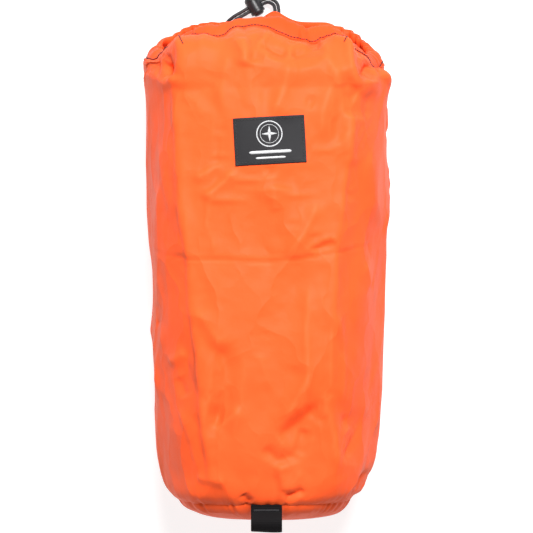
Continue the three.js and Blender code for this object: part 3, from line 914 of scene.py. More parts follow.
def hem_lines(angle, x):
    """y of the stitch line and of the folded edge round the mouth."""
    degrees = from_underside(angle)
    sides = [np.interp(degrees, HEM_SIDES[:, 0], HEM_SIDES[:, k]) for k in (1, 2)]
    drop = RIGHT_DROP * smoothstep(35, 75, degrees) * (x > 0)
    front = [np.interp(x, HEM_FRONT[:, 0], HEM_FRONT[:, k]) for k in (1, 2)]
    blend = smoothstep(104, 124, degrees)
    stitch, edge = ((s - drop) * (1 - blend) + f * blend for s, f in zip(sides, front))
    at_back = 1 - smoothstep(40, 60, degrees)
    ear = EAR_HEIGHT * np.exp(-((x - EAR_X) / EAR_HALF) ** 2) * at_back
    return stitch, edge + ear


def station_path():
    """Length run along the stations, so that rows can also follow the steep last part."""
    step = np.hypot(np.diff(STATIONS[:, 0]), np.diff(STATIONS[:, 4]))
    return np.concatenate([[0], np.cumsum(step)])


def gathers(u, below, angle):
    """Folds that run down from the drawn-in hem: u round the sack, below in millimetres."""
    front = frontness(angle)
    wander = waves(u, below / CUT_AROUND, 6, 1, 9, 21, 0.6)
    fine = puckers(FINE_GATHERS * u + 1.1 * ring_waves(u, 7, 2, 11, 22) + 0.25 * wander)
    wide = puckers(WIDE_GATHERS * u + 0.9 * ring_waves(u, 6, 1, 7, 23) + 0.3 * wander, 0.8)
    strength = 0.75 + 0.45 * ring_waves(u, 7, 2, 12, 24)
    strength = strength * (1 - 0.75 * np.exp(-((from_underside(angle) - 110) / 13) ** 2))
    fine_height = (3.4 - 2.2 * front) * strength * np.exp(-below / 15)
    wide_height = (5.0 - 3.4 * front) * strength * np.exp(-below / 42) * smoothstep(-4, 10, below)
    return fine * fine_height + wide * wide_height


def plain_tube(at, angle):
    """x, y and z of the smooth tube: a rounded square at each station, pressed flat below."""
    y, left, right, low, top, press = (at[:, k][:, None] for k in range(6))
    press = np.maximum(press, 0)
    sine = power(np.sin(angle), SQUARENESS)[None, :]
    cosine = power(np.cos(angle), SQUARENESS)[None, :]
    middle, rise = (top + low - press) / 2, (top - low + press) / 2
    x = np.where(sine >= 0, right, left) * sine
    return x, np.broadcast_to(y, x.shape).copy(), middle - rise * cosine


def pull_straight(x, z, at, angle, u, fade):
    """Pulls the cloth straight between six lines: the two creases, the sides, and two below."""
    def column_of(xs, side, upper):
        """Where round the sack these xs lie, as a share of the whole turn."""
        share = np.clip(np.abs(xs) / at[:, 2 if side > 0 else 1], 0, 0.98)
        a = np.arcsin(share ** (SQUARENESS / 2))
        a = PI - a if upper else a
        a = a if side > 0 else 2 * PI - a
        return np.interp(a, np.append(angle, 2 * PI), np.append(u, 1.0))

    level = np.ones(len(at))
    creases = [np.interp(at[:, 0], c[:, 0], c[:, 1]) for c in (CREASE_LEFT, CREASE_RIGHT)]
    lines = np.stack([
        column_of(FLAT_LINES[1] * level, 1, False), 0.25 * level, column_of(creases[1], 1, True),
        column_of(creases[0], -1, True), 0.75 * level, column_of(FLAT_LINES[0] * level, -1, False),
    ], axis=1)
    for i, corners in enumerate(lines):
        inside = (u >= corners[0]) & (u <= corners[-1])
        for values in (x, z):
            row = values[i].copy()
            at_corner = np.interp(corners, np.append(u, 1.0), np.append(row, row[0]))
            chord = np.interp(u, corners, at_corner)
            values[i] = np.where(inside, row + FLATTENING * fade[i] * (chord - row), row)


def relief(points, rows, angle, u, below):
    """How far the gathers, folds, dents and puckers lift the cloth off the smooth tube."""
    x, y, z = (points[:, :, k] for k in range(3))
    uu = np.broadcast_to(u[None, :], x.shape)
    vv = np.broadcast_to(rows[:, None] / CUT_AROUND, x.shape)
    height = gathers(uu, below, np.broadcast_to(angle[None, :], x.shape))

    upper = smoothstep(62, 100, z)
    folds = np.zeros(x.shape)
    for kind, tall, reach, line in FOLDS:
        folds += fold_height(x, y, kind, tall, reach, line)
    height += folds * upper

    # soft dents and fine crumples of crisp nylon, longer than they are wide
    away = smoothstep(0, 16, rows)[:, None] * smoothstep(0, 20, below)
    dents = waves(uu, vv, 14, 2, 9, 31, 0.5)
    ridges = 1 - 2 * np.abs(waves(uu, vv, 10, 2, 9, 32, 0.4))
    creases = 1 - 2 * np.abs(waves(uu, vv, 12, 6, 20, 33, 0.5))
    calm = 1 - 0.8 * smoothstep(120, 165, z)
    floor = smoothstep(0.5, 14, z)
    past_label = np.maximum(abs(x - LABEL_CENTRE[0]) - LABEL_SIZE[0] / 2,
                            abs(y - LABEL_CENTRE[1]) - LABEL_SIZE[1] / 2)
    clear = 1 - (1 - smoothstep(0, 14, past_label)) * upper
    small = scattered_folds(uu * CUT_AROUND, vv * CUT_AROUND, SMALL_FOLDS, 35)
    height += small * clear * away * floor * (1 - 0.25 * upper)
    height += away * floor * (1.5 * dents + calm * (0.8 * ridges + 0.3 * creases))

    pucker, uneven = seam_puckers(uu)
    run = rows[:, None]
    height += pucker * (0.6 + 0.5 * uneven) * (1.5 * np.exp(-run / 9) + 0.5 * np.exp(-run / 26))
    return height


def cloth_grid():
    """Points of the sack's tube of cloth as rows x columns, from the bottom seam to the stitch
    line, with the distance run along it, the angle and share round it and the height of its
    folds."""
    angle = even_angles(COLUMNS)
    u = np.arange(COLUMNS) / COLUMNS
    path = station_path()
    rows = np.concatenate([np.linspace(0, 18, 13, endpoint=False),
                           np.linspace(18, 352, 168, endpoint=False),
                           np.linspace(352, path[-1], 38)])
    at = hermite(path, STATIONS, rows)
    x, y, z = plain_tube(at, angle)
    fade = smoothstep(0, 30, rows) * (1 - smoothstep(path[-1] - 70, path[-1] - 14, rows))
    pull_straight(x, z, at, angle, u, fade)
    z = np.maximum(z, at[:, 3][:, None])

    # rows near the mouth bend to meet the wavy stitch line
    stitch, _ = hem_lines(angle, x[-1])
    bend = smoothstep(path[-1] - 78, path[-1], rows)[:, None] ** 1.3
    y += (stitch - at[-1, 0])[None, :] * bend

    points = np.stack([x, y, z], axis=2)
    below = path[-1] - rows[:, None] + 0 * u[None, :]
    height = relief(points, rows, angle, u, below)
    points = points + grid_normals(points) * height[:, :, None]
    points[:, :, 2] = np.maximum(points[:, :, 2], LOWEST)
    return points, rows, angle, u, height


def between(values, axis, closed):
    """Twice as many values along an axis, with a smooth curve through the old ones."""
    values = np.moveaxis(values, axis, 0)
    if closed:
        before, after, beyond = (np.roll(values, k, 0) for k in (1, -1, -2))
        middle = (9 * (values + after) - before - beyond) / 16
    else:
        middle = (values[:-1] + values[1:]) / 2
        middle[1:-1] = (9 * (values[1:-2] + values[2:-1]) - values[:-3] - values[3:]) / 16
    double = np.empty((len(values) + len(middle),) + values.shape[1:])
    double[::2], double[1::2] = values, middle
    return np.moveaxis(double, 0, axis)


def held_share(coarse):
    """How firmly each point is held: at both ends, under the label and on the table."""
    rows = len(coarse)
    x, y, z = (coarse[:, :, k] for k in range(3))
    end = np.minimum(np.arange(rows), rows - 1 - np.arange(rows))
    at_ends = np.broadcast_to(1 - smoothstep(0, 5, end)[:, None], x.shape)
    half_u, half_v = LABEL_SIZE[0] / 2, LABEL_SIZE[1] / 2
    at_label = ((1 - smoothstep(half_u, half_u + 9, abs(x - LABEL_CENTRE[0])))
                * (1 - smoothstep(half_v, half_v + 9, abs(y - LABEL_CENTRE[1]))) * (z > 120))
    return np.maximum(np.maximum(at_ends, at_label), 1 - smoothstep(1.5, 6, z))


def draped(coarse):
    """The points of the coarse grid after the simulation, on a filling that lies under them."""
    faces = [f[::-1] for f in grid_faces(*coarse.shape[:2])]
    large = coarse.reshape(-1, 3) * SETTLE_SCALE
    cloth = new_object("draped", large, faces)
    inner = coarse - grid_normals(coarse) * FILLING_GAP
    inner[:, :, 2] = np.maximum(inner[:, :, 2], 0.5 * FILLING_GAP)
    filling = new_object("filling", inner.reshape(-1, 3) * SETTLE_SCALE, faces)
    filling.modifiers.new("collision", "COLLISION")
    filling.collision.thickness_outer = SETTLE_GAP
    filling.collision.cloth_friction = 12

    group = cloth.vertex_groups.new(name="held")
    for index, weight in enumerate(held_share(coarse).ravel()):
        if weight > 0.02:
            group.add([index], float(weight), "REPLACE")
    drape = cloth.modifiers.new("cloth", "CLOTH")
    for setting, value in NYLON_DRAPE.items():
        setattr(drape.settings, setting, value)
    cloth.shape_key_add(name="laid")
    cut = cloth.shape_key_add(name="cut")
    axis = np.array([0, 0, AXIS_HEIGHT * SETTLE_SCALE])
    grown = (large - axis) * (1 + CLOTH_AROUND, 1 + CLOTH_ALONG, 1 + CLOTH_AROUND) + axis
    cut.data.foreach_set("co", (grown * MM).ravel())
    drape.settings.rest_shape_key = cut
    drape.settings.vertex_group_mass = "held"
    drape.collision_settings.distance_min = SETTLE_GAP
    drape.point_cache.frame_start, drape.point_cache.frame_end = 1, SETTLE_FRAMES
    scene = bpy.context.scene
    for number in range(1, SETTLE_FRAMES + 1):
        scene.frame_set(number)
    settled = cloth.evaluated_get(bpy.context.evaluated_depsgraph_get()).to_mesh()
    places = np.zeros(len(settled.vertices) * 3)
    settled.vertices.foreach_get("co", places)
    scene.frame_set(1)
    for obj in (cloth, filling):
        mesh = obj.data
        bpy.data.objects.remove(obj)
        bpy.data.meshes.remove(mesh)
    return places.reshape(coarse.shape) / MM / SETTLE_SCALE


def settle(points):
    """Drapes the cloth on what fills the sack. A coarser copy, slightly too large for its filling,
    is simulated, and the fine grid follows its movement, less most of the slow, wide part."""
    coarse = points[::2, ::2]
    moved = draped(coarse) - coarse
    wide = moved
    for _ in range(60):
        padded = np.pad(wide, ((1, 1), (0, 0), (0, 0)), mode="edge")
        wide = (padded[:-2] + padded[2:] + 2 * wide
                + np.roll(wide, 1, 1) + np.roll(wide, -1, 1)) / 6
    moved = moved - KEPT_SHAPE * wide
    length = np.linalg.norm(moved, axis=2)[:, :, None]
    moved = moved * (SETTLE_MOST * np.tanh(length / SETTLE_MOST) / np.maximum(length, 1e-6))
    moved[0] = 0
    moved *= smoothstep(0, 9, len(moved) - 1 - np.arange(len(moved)))[:, None, None]
    settled = points + between(between(moved, 0, False), 1, True)
    settled[:, :, 2] = np.maximum(settled[:, :, 2], LOWEST)
    return settled


def make_body():
    """The tube of cloth, from the bottom seam to the hem's stitch line."""
    points, rows, angle, u, height = cloth_grid()
    before = points
    points = settle(points)
    height = height + ((points - before) * grid_normals(before)).sum(axis=2)
    faces = [f[::-1] for f in grid_faces(len(rows), COLUMNS)]
    body = new_object("body_cloth", points.reshape(-1, 3), faces)
    uv = np.stack(np.broadcast_arrays(u[None, :] * CUT_AROUND, rows[:, None]), axis=2)
    give_uv(body, uv.reshape(-1, 2) * MM)
    # painted highlight: where the cloth stands above its neighbours, on the crests of folds, it is
    # painted paler, which also stands for a little rubbing there
    smooth = (np.roll(height, 1, 0) + np.roll(height, -1, 0) + np.roll(height, 1, 1)
              + np.roll(height, -1, 1)) / 4
    give_attribute(body, "crest_highlight_and_rub", np.clip((height - smooth) * 6, 0, 1))
    # painted shade: the cloth just under the hem, round the sides and the back, is painted a deeper
    # red-orange for the shade it lies in
    at_side = 1 - smoothstep(122, 136, from_underside(angle))
    near_hem = np.exp(-(rows[-1] - rows) / 16)
    give_attribute(body, "painted_shade", near_hem[:, None] * at_side[None, :])
    thicken(body, FABRIC)
    finish_piece(body, NYLON, "sack", ["body_panel"])
    return points, rows, angle, u


# ---- the hem, the bottom and the seams ----
# Outline of the hem: share of its height, and depth from its outside.
HEM_OUTLINE = [(0.1, -0.3), (0.28, -0.9), (0.5, -1.1), (0.72, -0.7), (0.88, 0.2), (0.97, 1.3),
               (1.0, 2.6), (0.975, 4.1), (0.88, 5.4), (0.7, 6.1), (0.5, 6.0), (0.3, 4.9),
               (0.14, 3.0), (0.04, 1.3)]


def grow_hem(points, angle, u):
    """The hem tunnel above the stitch line, up the outside, over the fold and down the inside,
    and the line of the cord in it."""
    stitch_row = points[-1]
    _, edge = hem_lines(angle, stitch_row[:, 0])
    out = stitch_row - np.array([0, 0, MOUTH_HEIGHT])
    out[:, 1] = 0
    out[:, 0] /= MOUTH_HALF[0] ** 2
    out[:, 2] /= MOUTH_HALF[1] ** 2
    out = unit(out)
    degrees, at_front = from_underside(angle), frontness(angle)
    full = 1 - 0.6 * at_front  # the hem lies flatter at the front
    pleats = puckers(HEM_PLEATS * u + 1.6 * ring_waves(u, 7, 3, 15, 52))
    uneven = np.clip(0.7 + 0.6 * ring_waves(u, 7, 3, 11, 53), 0.1, 1.6)
    gather = gathers(u, 0 * u, angle) + 2.4 * at_front * uneven * pleats
    gather = np.where(gather < 0, 0.6 * gather, gather)  # the cord keeps the dents shallow
    edge = edge + 0.3 * gather + 0.5 * ring_waves(u, 9, 8, 40, 51)
    tall = edge - stitch_row[:, 1]
    # how far the hem tips in towards the mouth at its fold
    lean_in = 3.0 + 3.0 * smoothstep(50, 80, degrees) + 2.0 * smoothstep(80, 130, degrees)
    rings = []
    for up, depth in HEM_OUTLINE:
        ring = stitch_row.copy()
        ring[:, 1] += up * tall
        swell = depth * full if depth < 0 else depth
        ring -= out * (swell + lean_in * up - gather * (0.3 + 0.6 * up))[:, None]
        rings.append(ring)
    cord = stitch_row.copy()
    cord[:, 1] += np.minimum(0.55 * tall, 6.6)
    steady = sum(np.roll(gather, k) for k in range(-4, 5)) / 9  # the cord runs straight through
    cord -= out * (2.75 + 0.55 * lean_in - steady * 0.63)[:, None]
    return np.array(rings), cord


def make_hem(points, rows, angle, u):
    """The hem with its slit, and the cord inside it. Returns the hem's rows of points."""
    rings, cord_ring = grow_hem(points, angle, u)
    hem_points = np.concatenate([points[-1:], rings])
    x = points[-1][:, 0]
    below = (angle < PI / 3) | (angle > 5 * PI / 3)
    at_slit = (np.abs(x - EAR_X) < SLIT_HALF) & below
    faces = [f[::-1] for f in grid_faces(len(hem_points), COLUMNS)
             if not (at_slit[f[0] % COLUMNS] and at_slit[f[1] % COLUMNS]
                     and f[0] // COLUMNS in SLIT_LEVELS)]
    hem = new_object("hem_cloth", hem_points.reshape(-1, 3), faces)
    reach = np.linalg.norm(np.diff(hem_points, axis=0), axis=2).mean(axis=1)
    run = rows[-1] + np.concatenate([[0], np.cumsum(reach)])
    uv = np.stack(np.broadcast_arrays(u[None, :] * CUT_AROUND, run[:, None]), axis=2)
    give_uv(hem, uv.reshape(-1, 2) * MM)
    # painted shade: the whole hem is painted a deeper red-orange, in uneven patches, for the shade
    # it lies in
    patchy = 0.75 + 0.3 * waves(u[None, :], run[:, None] / CUT_AROUND, 9, 3, 14, 54)
    give_attribute(hem, "painted_shade", np.clip(patchy, 0, 1))
    thicken(hem, FABRIC)
    finish_piece(hem, NYLON, "sack", ["drawcord_channel"])

    start = int(np.argmax((x > CORD_ENDS[1]) & (angle < PI / 3)))
    order = [j % COLUMNS for j in range(start, start + COLUMNS)]
    order = [j for j in order if not (angle[j] < PI / 3 and CORD_ENDS[0] < x[j] < CORD_ENDS[1])]
    line = route(cord_ring[order][::2], 1.0)
    drawcord = tube("drawcord_braid", line, CORD / 2 - 0.12, 16, braid)
    finish_piece(drawcord, CORD_BLACK, "sack", ["drawcord"])
    return hem_points


def make_bottom(points, u):
    """The round bottom, sewn to the first row of the body and pushed out to a low dome."""
    rim = points[0]
    centre = np.array([0, 0, RIM_HEIGHT])
    spokes = (rim - centre) * np.array([1, 0, 1])
    shares = np.concatenate([np.linspace(1, 0.9, 10, endpoint=False),
                             np.linspace(0.9, 0.06, 34)])
    table = np.array(sorted((share, y) for y, share in DOME))
    pucker, uneven = seam_puckers(u)
    rings = []
    for share, y in zip(shares, hermite(table[:, 0], table[:, 1], shares)):
        ring = centre + spokes * share
        from_rim = (1 - share) * RIM_RADIUS
        ripple = pucker * (0.7 + 0.6 * uneven) * (1.6 * math.exp(-from_rim / 8)
                                                  + 0.7 * math.exp(-from_rim / 25))
        dents = 2.0 * waves(u, 0 * u + share * 0.25, 9, 1, 5, 61, 0.6)
        dents = dents * min(1, from_rim / 12) * share
        groove = 0.9 * math.exp(-from_rim / 2.2)
        ring[:, 1] = y - ripple - dents + groove + (rim[:, 1] - STATIONS[0, 0]) * share ** 20
        rings.append(ring)
    flat = np.array(rings).reshape(-1, 3)
    last = len(flat) - COLUMNS
    faces = [f[::-1] for f in grid_faces(len(rings), COLUMNS)]
    faces += [[last + j, last + (j + 1) % COLUMNS, len(flat)] for j in range(COLUMNS)]
    vertices = np.vstack([flat, rings[-1].mean(axis=0)])
    bottom = new_object("bottom_cloth", vertices, faces)
    face_outwards(bottom)
    give_uv(bottom, vertices[:, [0, 2]] * MM)
    thicken(bottom, FABRIC)
    finish_piece(bottom, NYLON, "sack", ["bottom_panel"])


def seam_allowance(node, strip, around, offset):
    """A strip of two layers of cloth from a grid of points."""
    flat = strip.reshape(-1, 3)
    seam = new_object(node + "_allowance", flat, grid_faces(*strip.shape[:2], around=around))
    give_uv(seam, flat[:, :2] * MM)
    thicken(seam, 2 * FABRIC, offset)
    finish_piece(seam, NYLON, "sack", [node])


def make_seams(points, rows):
    """The seam allowances inside: round the bottom, and along the underside."""
    use = (rows > 0.8) & (rows < 10)
    seam_allowance("bottom_seam", points[use] - grid_normals(points)[use], True, -1.0)

    low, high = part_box("lengthwise_seam")
    xs = np.linspace(low.x / MM, high.x / MM, 6)
    strip = []
    for i, row in enumerate(points):
        if low.y / MM < row[0, 1] < high.y / MM - 6:
            p = row[:40]
            lift = 0.75 + 0.25 * math.sin(i * 0.7) * np.linspace(0, 1, len(xs))
            strip.append(np.stack([xs, np.interp(xs, p[:, 0], p[:, 1]),
                                   np.interp(xs, p[:, 0], p[:, 2]) + lift], axis=1))
    seam_allowance("lengthwise_seam", np.array(strip), False, 1.0)


# ---- stitching ----
def dashes(name, lines, dash, gap, radius, lift):
    """Stitches of thread along lines of points with normals, each dipping into the cloth."""
    vertices, faces = [], []
    sides, steps = 6, 7
    turn = 2 * PI * np.arange(sides) / sides
    arch = np.sin(np.linspace(0, PI, steps)) ** 0.6
    radii = radius * np.array([0.55] + [1] * (steps - 2) + [0.55])[:, None]
    for points, normals in lines:
        along = run_along(points)
        for k in range(int(along[-1] // (dash + gap))):
            s = k * (dash + gap) + np.linspace(0, dash, steps)
            normal = unit(sample(normals, along, s))
            rise = lift + (arch * 1.3 - 0.9) * radius
            centre = sample(points, along, s) + normal * rise[:, None]
            tangent = unit(np.gradient(centre, axis=0))
            side = unit(np.cross(tangent, normal))
            first = len(vertices)
            vertices.extend(rings_about(centre, side, np.cross(side, tangent), turn,
                                        radii).reshape(-1, 3))
            faces += grid_faces(steps, sides, start=first)
            faces.append([first + j for j in range(sides)][::-1])
            faces.append([first + (steps - 1) * sides + j for j in range(sides)])
    return new_object(name, vertices, faces)


def on_surface(surface, points):
    """Nearest points of a surface and its normals there."""
    places, normals = [], []
    for p in points:
        place, normal, _, _ = surface.find_nearest(Vector(p))
        away = place - Vector((0, place[1], AXIS_HEIGHT))
        if normal.dot(away) < 0:
            normal = -normal
        places.append(tuple(place))
        normals.append(tuple(normal))
    return np.array(places), np.array(normals)


def zigzag(surface, centre, length, width, passes, across=(1, 0, 0), along=(0, 1, 0)):
    """Points of a bartack: thread to and fro over a short bar."""
    across, along, centre = (np.array(v, float) for v in (across, along, centre))
    points = []
    for k in range(passes + 1):
        y = length * (k / passes - 0.5)
        side = width / 2 if k % 2 else -width / 2
        points.append(centre + along * y + across * side)
    line = route(points, 0.35)
    return on_surface(surface, line) if surface else (line, np.tile([0, 0, 1.0], (len(line), 1)))


def shoulder_mark(surface, start, end):
    """The line of a short seam on a shoulder and its normals, seen from above."""
    placed = []
    for t in np.linspace(0, 1, 24):
        above = (start[0] + (end[0] - start[0]) * t, start[1] + (end[1] - start[1]) * t, 200)
        place, normal, _, _ = surface.ray_cast(Vector(above), Vector((0, 0, -1)))
        if place is not None and place.z > MARK_LOWEST:
            placed.append((tuple(place), tuple(normal if normal.z > 0 else -normal)))
    return np.array([p for p, _ in placed]), np.array([n for _, n in placed])


def make_stitching(hem_points, points, surface, angle):
    """The thread line under the hem, the marks on the shoulders and the slit's bartacks."""
    degrees = from_underside(angle)
    at_side = smoothstep(70, 80, degrees) * (1 - smoothstep(118, 128, degrees))
    share = (0.45 - 0.4 * at_side)[:, None]
    ring, normal = on_surface(surface, points[-1] + share * (hem_points[2] - points[-1]))
    start = int(np.argmax((ring[:, 0] > EAR_X + 7) & (angle < PI / 3)))
    lines = [(np.roll(ring, -start, axis=0), np.roll(normal, -start, axis=0))]
    marks = [shoulder_mark(surface, *ends) for ends in SHOULDER_MARKS]
    lines += [mark for mark in marks if len(mark[0]) > 3]
    hem_thread = dashes("hem_stitches", lines, *HEM_STITCH)
    finish_piece(hem_thread, HEM_THREAD, "sack", ["hem_stitching"])
    for node in ("slit_bartack_left", "slit_bartack_right"):
        bar = zigzag(surface, box_middle(node), 7.4, 1.8, 22)
        tack = dashes(node + "_thread", [bar], *SLIT_TACK)
        finish_piece(tack, BLACK_THREAD, "sack", [node])


# ---- label ----
def label_place(u, v):
    """x and y of a point of the label's own turned axes."""
    c, s = math.cos(LABEL_TURN), math.sin(LABEL_TURN)
    return LABEL_CENTRE[0] + u * c - v * s, LABEL_CENTRE[1] + u * s + v * c


def label_heights(surface):
    """Height of the label's underside over a grid: the cloth under it, smoothed."""
    us = np.linspace(-LABEL_SIZE[0] / 2, LABEL_SIZE[0] / 2, 59)
    vs = np.linspace(-LABEL_SIZE[1] / 2, LABEL_SIZE[1] / 2, 41)
    z = np.zeros((len(vs), len(us)))
    for i, v in enumerate(vs):
        for j, w in enumerate(us):
            x, y = label_place(w, v)
            z[i, j] = surface.ray_cast(Vector((x, y, 260)), Vector((0, 0, -1)))[0].z
    smooth = z.copy()
    for _ in range(12):
        padded = np.pad(smooth, 1, mode="edge")
        smooth = (padded[:-2, 1:-1] + padded[2:, 1:-1] + padded[1:-1, :-2] + padded[1:-1, 2:]) / 4
    smooth = smooth + max(0.0, float((z - smooth).max())) * 0.6
    corner = (np.abs(us)[None, :] / us[-1]) ** 8 * (np.abs(vs)[:, None] / vs[-1]) ** 8
    return us, vs, np.maximum(smooth, z) + 0.12 + 0.5 * corner


def make_label(surface):
    us, vs, z = label_heights(surface)
    uu, vv = np.meshgrid(us, vs)
    fray = 0.12 * waves(uu / 57, vv / 57, 8, 4, 14, 71)
    edge = np.maximum((np.abs(uu) / us[-1]) ** 40, (np.abs(vv) / vs[-1]) ** 40)
    xs, ys = label_place(uu * (1 + 0.002 * fray * edge), vv * (1 + 0.004 * fray * edge))
    grid = np.stack([xs, ys, z], axis=2).reshape(-1, 3)
    label = new_object("label_cloth", grid, grid_faces(len(vs), len(us), around=False))
    give_uv(label, np.stack([uu, vv], axis=2).reshape(-1, 2) * MM)
    thicken(label, LABEL_THICKNESS, 1.0)
    bevel(label, 0.25, 50)
    finish_piece(label, LABEL_BLACK, "sack", ["label_patch"])

    def above(u, v, lift):
        i = np.interp(v, vs, np.arange(len(vs)))
        j = np.interp(u, us, np.arange(len(us)))
        i0, j0 = min(int(i), len(vs) - 2), min(int(j), len(us) - 2)
        a, b = i - i0, j - j0
        height = ((z[i0, j0] * (1 - a) + z[i0 + 1, j0] * a) * (1 - b)
                  + (z[i0, j0 + 1] * (1 - a) + z[i0 + 1, j0 + 1] * a) * b)
        x, y = label_place(u, v)
        return (x, y, height + LABEL_THICKNESS + lift)

    half_u, half_v = LABEL_SIZE[0] / 2 - 2, LABEL_SIZE[1] / 2 - 2
    corners = [(-half_u, -half_v), (half_u, -half_v), (half_u, half_v), (-half_u, half_v)]
    lines = []
    for (u0, v0), (u1, v1) in zip(corners, corners[1:] + corners[:1]):
        line = np.array([above(u0 + (u1 - u0) * t, v0 + (v1 - v0) * t, 0)
                         for t in np.linspace(0, 1, 40)])
        lines.append((line, np.tile([0, 0, 1.0], (len(line), 1))))
    thread = dashes("label_stitches", lines, *LABEL_STITCH)
    finish_piece(thread, BLACK_THREAD, "sack", ["label_stitching"])
    return above


def make_motif(above):
    """A plain device on the label: a compass star in two rings, over two bars."""
    vertices, faces = [], []

    def band(inner, outer):
        """A strip between two lists of points of the same length."""
        first, n = len(vertices), len(inner)
        vertices.extend(above(u, v, 0.02) for u, v in [*inner, *outer])
        for k in range(first, first + n - 1):
            faces.append([k, k + 1, n + k + 1, n + k])

    turn = np.linspace(0, 2 * PI, 61)
    circle = np.stack([np.cos(turn), np.sin(turn)], axis=1)
    centre = np.array([0, 5.2])
    for radius, width in ((9.6, 0.9), (7.2, 0.35)):
        band(centre + radius * circle, centre + (radius + width) * circle)
    tip, waist = 6.4, 1.5
    spread = np.linspace(0, 1, 9)[:, None]
    for k in range(4):
        a = k * PI / 2
        spine = centre + np.array([math.cos(a), math.sin(a)]) * (tip * spread)
        side = np.array([-math.sin(a), math.cos(a)]) * waist
        half = side * (1 - spread) * np.minimum(1, spread * 6)
        band(spine - half, spine + half)
    for low, tall, half in ((-10.4, 2.4, 17.0), (-14.6, 1.6, 12.0)):
        across = np.linspace(-half, half, 40)
        round_off = tall / 2 * (1 - (abs(across) / half) ** 24)
        band(*(np.stack([across, low + tall / 2 + s * round_off], axis=1) for s in (-1, 1)))
    motif = new_object("label_motif", vertices, faces)
    give_uv(motif, np.array(vertices)[:, :2] * MM)
    thicken(motif, 0.14, 1.0)
    finish_piece(motif, LABEL_WHITE)


# ---- grab loop ----
def make_loop():
    """The folded webbing of the grab loop, and the bar of thread at its root."""
    low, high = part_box("grab_loop_webbing")
    root_y, middle_z = high.y / MM, (low.z + high.z) / 2 / MM
    tip = (high.y - low.y) / MM - WEBBING / 2
    eye = (high.z - low.z) / 2 / MM - WEBBING / 2
    # distance from the root and height above the middle
    upper = [(-2.5, 0.7), (1.0, 0.75), (4.0, 1.15), (6.6, 2.5), (9.2, 3.7), (12.8, eye),
             (16.0, 3.5), (tip - 0.8, 2.1), (tip, 0)]
    half = [(0.0, root_y - d, middle_z + h) for d, h in upper]
    under = [(0.0, y, 2 * middle_z - z) for _, y, z in reversed(half[:-1])]
    line = route(half + under, 0.26)
    outward = np.cross(unit(np.gradient(line, axis=0)), (1.0, 0, 0))
    if outward[0][2] < 0:
        outward = -outward
    across = np.linspace(-1, 1, 41) * LOOP_WIDTH / 2
    along = run_along(line)
    rib = 0.5 + 0.5 * np.cos(2 * PI * along / RIB_PITCH)
    flat_edge = 1 - (np.abs(across) / across[-1]) ** 14
    relief = WEBBING / 2 * (0.55 + 0.45 * flat_edge)[None, :] + 0.13 * rib[:, None] * flat_edge
    curl = 0.35 * np.sin(across / across[-1] * 2.1 + 0.4)[None, :]
    curl = curl * smoothstep(3, 12, along)[:, None]
    shells = []
    for sign in (1, -1):
        shell = line[:, None, :] + outward[:, None, :] * (sign * relief + curl)[:, :, None]
        shell[:, :, 0] += across[None, :]
        shells.append(shell)
    ring = np.concatenate([shells[0], shells[1][:, ::-1]], axis=1)
    count, columns = ring.shape[:2]
    faces = grid_faces(count, columns)
    faces.append(list(range(columns))[::-1])
    faces.append([(count - 1) * columns + k for k in range(columns)])
    loop = new_object("grab_loop_ribbed", ring.reshape(-1, 3), faces)
    face_outwards(loop)
    uv_across = np.concatenate([across, across[::-1]])
    uv = np.stack(np.broadcast_arrays(uv_across[None, :], along[:, None]), axis=2)
    give_uv(loop, uv.reshape(-1, 2) * MM)
    shade(loop, 60)
    finish_piece(loop, WEBBING_BLACK, "grab_loop", ["grab_loop_webbing"])

    middle = box_middle("grab_loop_bartack") - Vector((0, 0, 0.15))
    bar = zigzag(None, middle, 20, 1.7, 64, across=(0, 1, 0), along=(1, 0, 0))
    tack = dashes("grab_loop_bartack_thread", [bar], *LOOP_TACK)
    finish_piece(tack, BLACK_THREAD, "grab_loop", ["grab_loop_bartack"])


# ---- cord lock ----
def lock_matrix():
    """Local x along the cords, y up, z the way the button points."""
    c, s = math.cos(LOCK_TURN), math.sin(LOCK_TURN)
    turn = Matrix(((c, 0, s, 0), (s, 0, -c, 0), (0, 1, 0, 0), (0, 0, 0, 1)))
    return Matrix.Translation(Vector(LOCK_CENTRE) * MM) @ turn


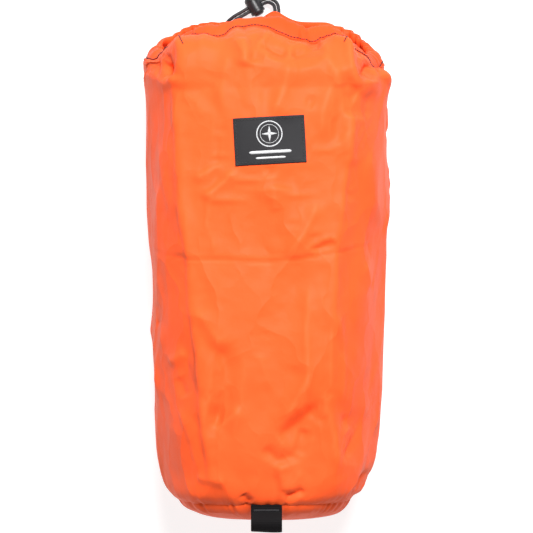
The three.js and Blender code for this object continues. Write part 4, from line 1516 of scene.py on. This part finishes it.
def cord_slot(low, high, height):
    """A round-ended bar along local x, to cut the cord hole with."""
    r = height / 2
    half_turn = np.linspace(-PI / 2, PI / 2, 13)
    outline = [(low + r - r * math.cos(a), r * math.sin(a)) for a in half_turn]
    outline += [(high - r + r * math.cos(a), r * math.sin(a)) for a in half_turn[::-1]]
    points = [(x, y, z) for x in (-12, 12) for z, y in outline]
    n = len(outline)
    faces = [[k, (k + 1) % n, n + (k + 1) % n, n + k] for k in range(n)]
    faces += [list(range(n))[::-1], list(range(n, 2 * n))]
    return face_outwards(new_object("slot_tool", points, faces, smooth=False))


def turned_with_hole(name, profile, low, high):
    """A turned solid with the cord hole cut through it, in the lock's place."""
    obj = lathe(name, profile)
    tool = cord_slot(low, high, 3.9)
    cut = obj.modifiers.new("hole", "BOOLEAN")
    cut.operation, cut.object, cut.solver = "DIFFERENCE", tool, "EXACT"
    bevel(obj, 0.22, 48)
    bpy.data.objects.remove(tool)
    obj.data.transform(lock_matrix())
    return shade(obj, 40)


def make_lock():
    barrel = [(0, -10), (2.6, -9.95), (4.2, -9.6), (5.3, -9.0), (6.0, -8.1), (6.35, -7.0),
              (6.4, -5.6), (6.1, -5.3), (6.1, -4.8), (6.4, -4.5), (6.45, 3.4), (6.15, 3.7),
              (6.15, 4.2), (6.5, 4.5), (6.5, 5.9), (6.2, 6.4), (5.7, 6.6), (5.1, 6.4),
              (4.85, 5.9), (4.8, -8.7), (0, -8.7)]
    plunger = [(0, -4.9), (4.1, -4.9), (4.45, -4.6), (4.5, 6.6), (4.4, 7.5), (4.0, 8.1),
               (3.4, 8.4), (2.9, 8.3), (2.6, 8.05), (2.2, 8.05), (1.8, 8.35), (0, 8.5)]
    body = turned_with_hole("lock_barrel_shell", barrel, -3.5, 3.5)
    finish_piece(body, PLASTIC, "cord_lock", ["lock_barrel"])
    button = turned_with_hole("lock_button_core", plunger, -3.5, 5.5)
    finish_piece(button, PLASTIC, "lock_button", ["lock_plunger"])
    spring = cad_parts["lock_spring"]
    spring.data.materials.clear()
    spring.data.materials.append(STEEL)
    shade(spring, 60)


def main():
    camera()
    studio()
    cords()
    points, rows, angle, u = make_body()
    hem_points = make_hem(points, rows, angle, u)
    surface = surface_of(np.concatenate([points, hem_points[1:6]]))
    make_bottom(points, u)
    make_seams(points, rows)
    make_stitching(hem_points, points, surface, angle)
    make_motif(make_label(surface))
    make_loop()
    make_lock()


main()
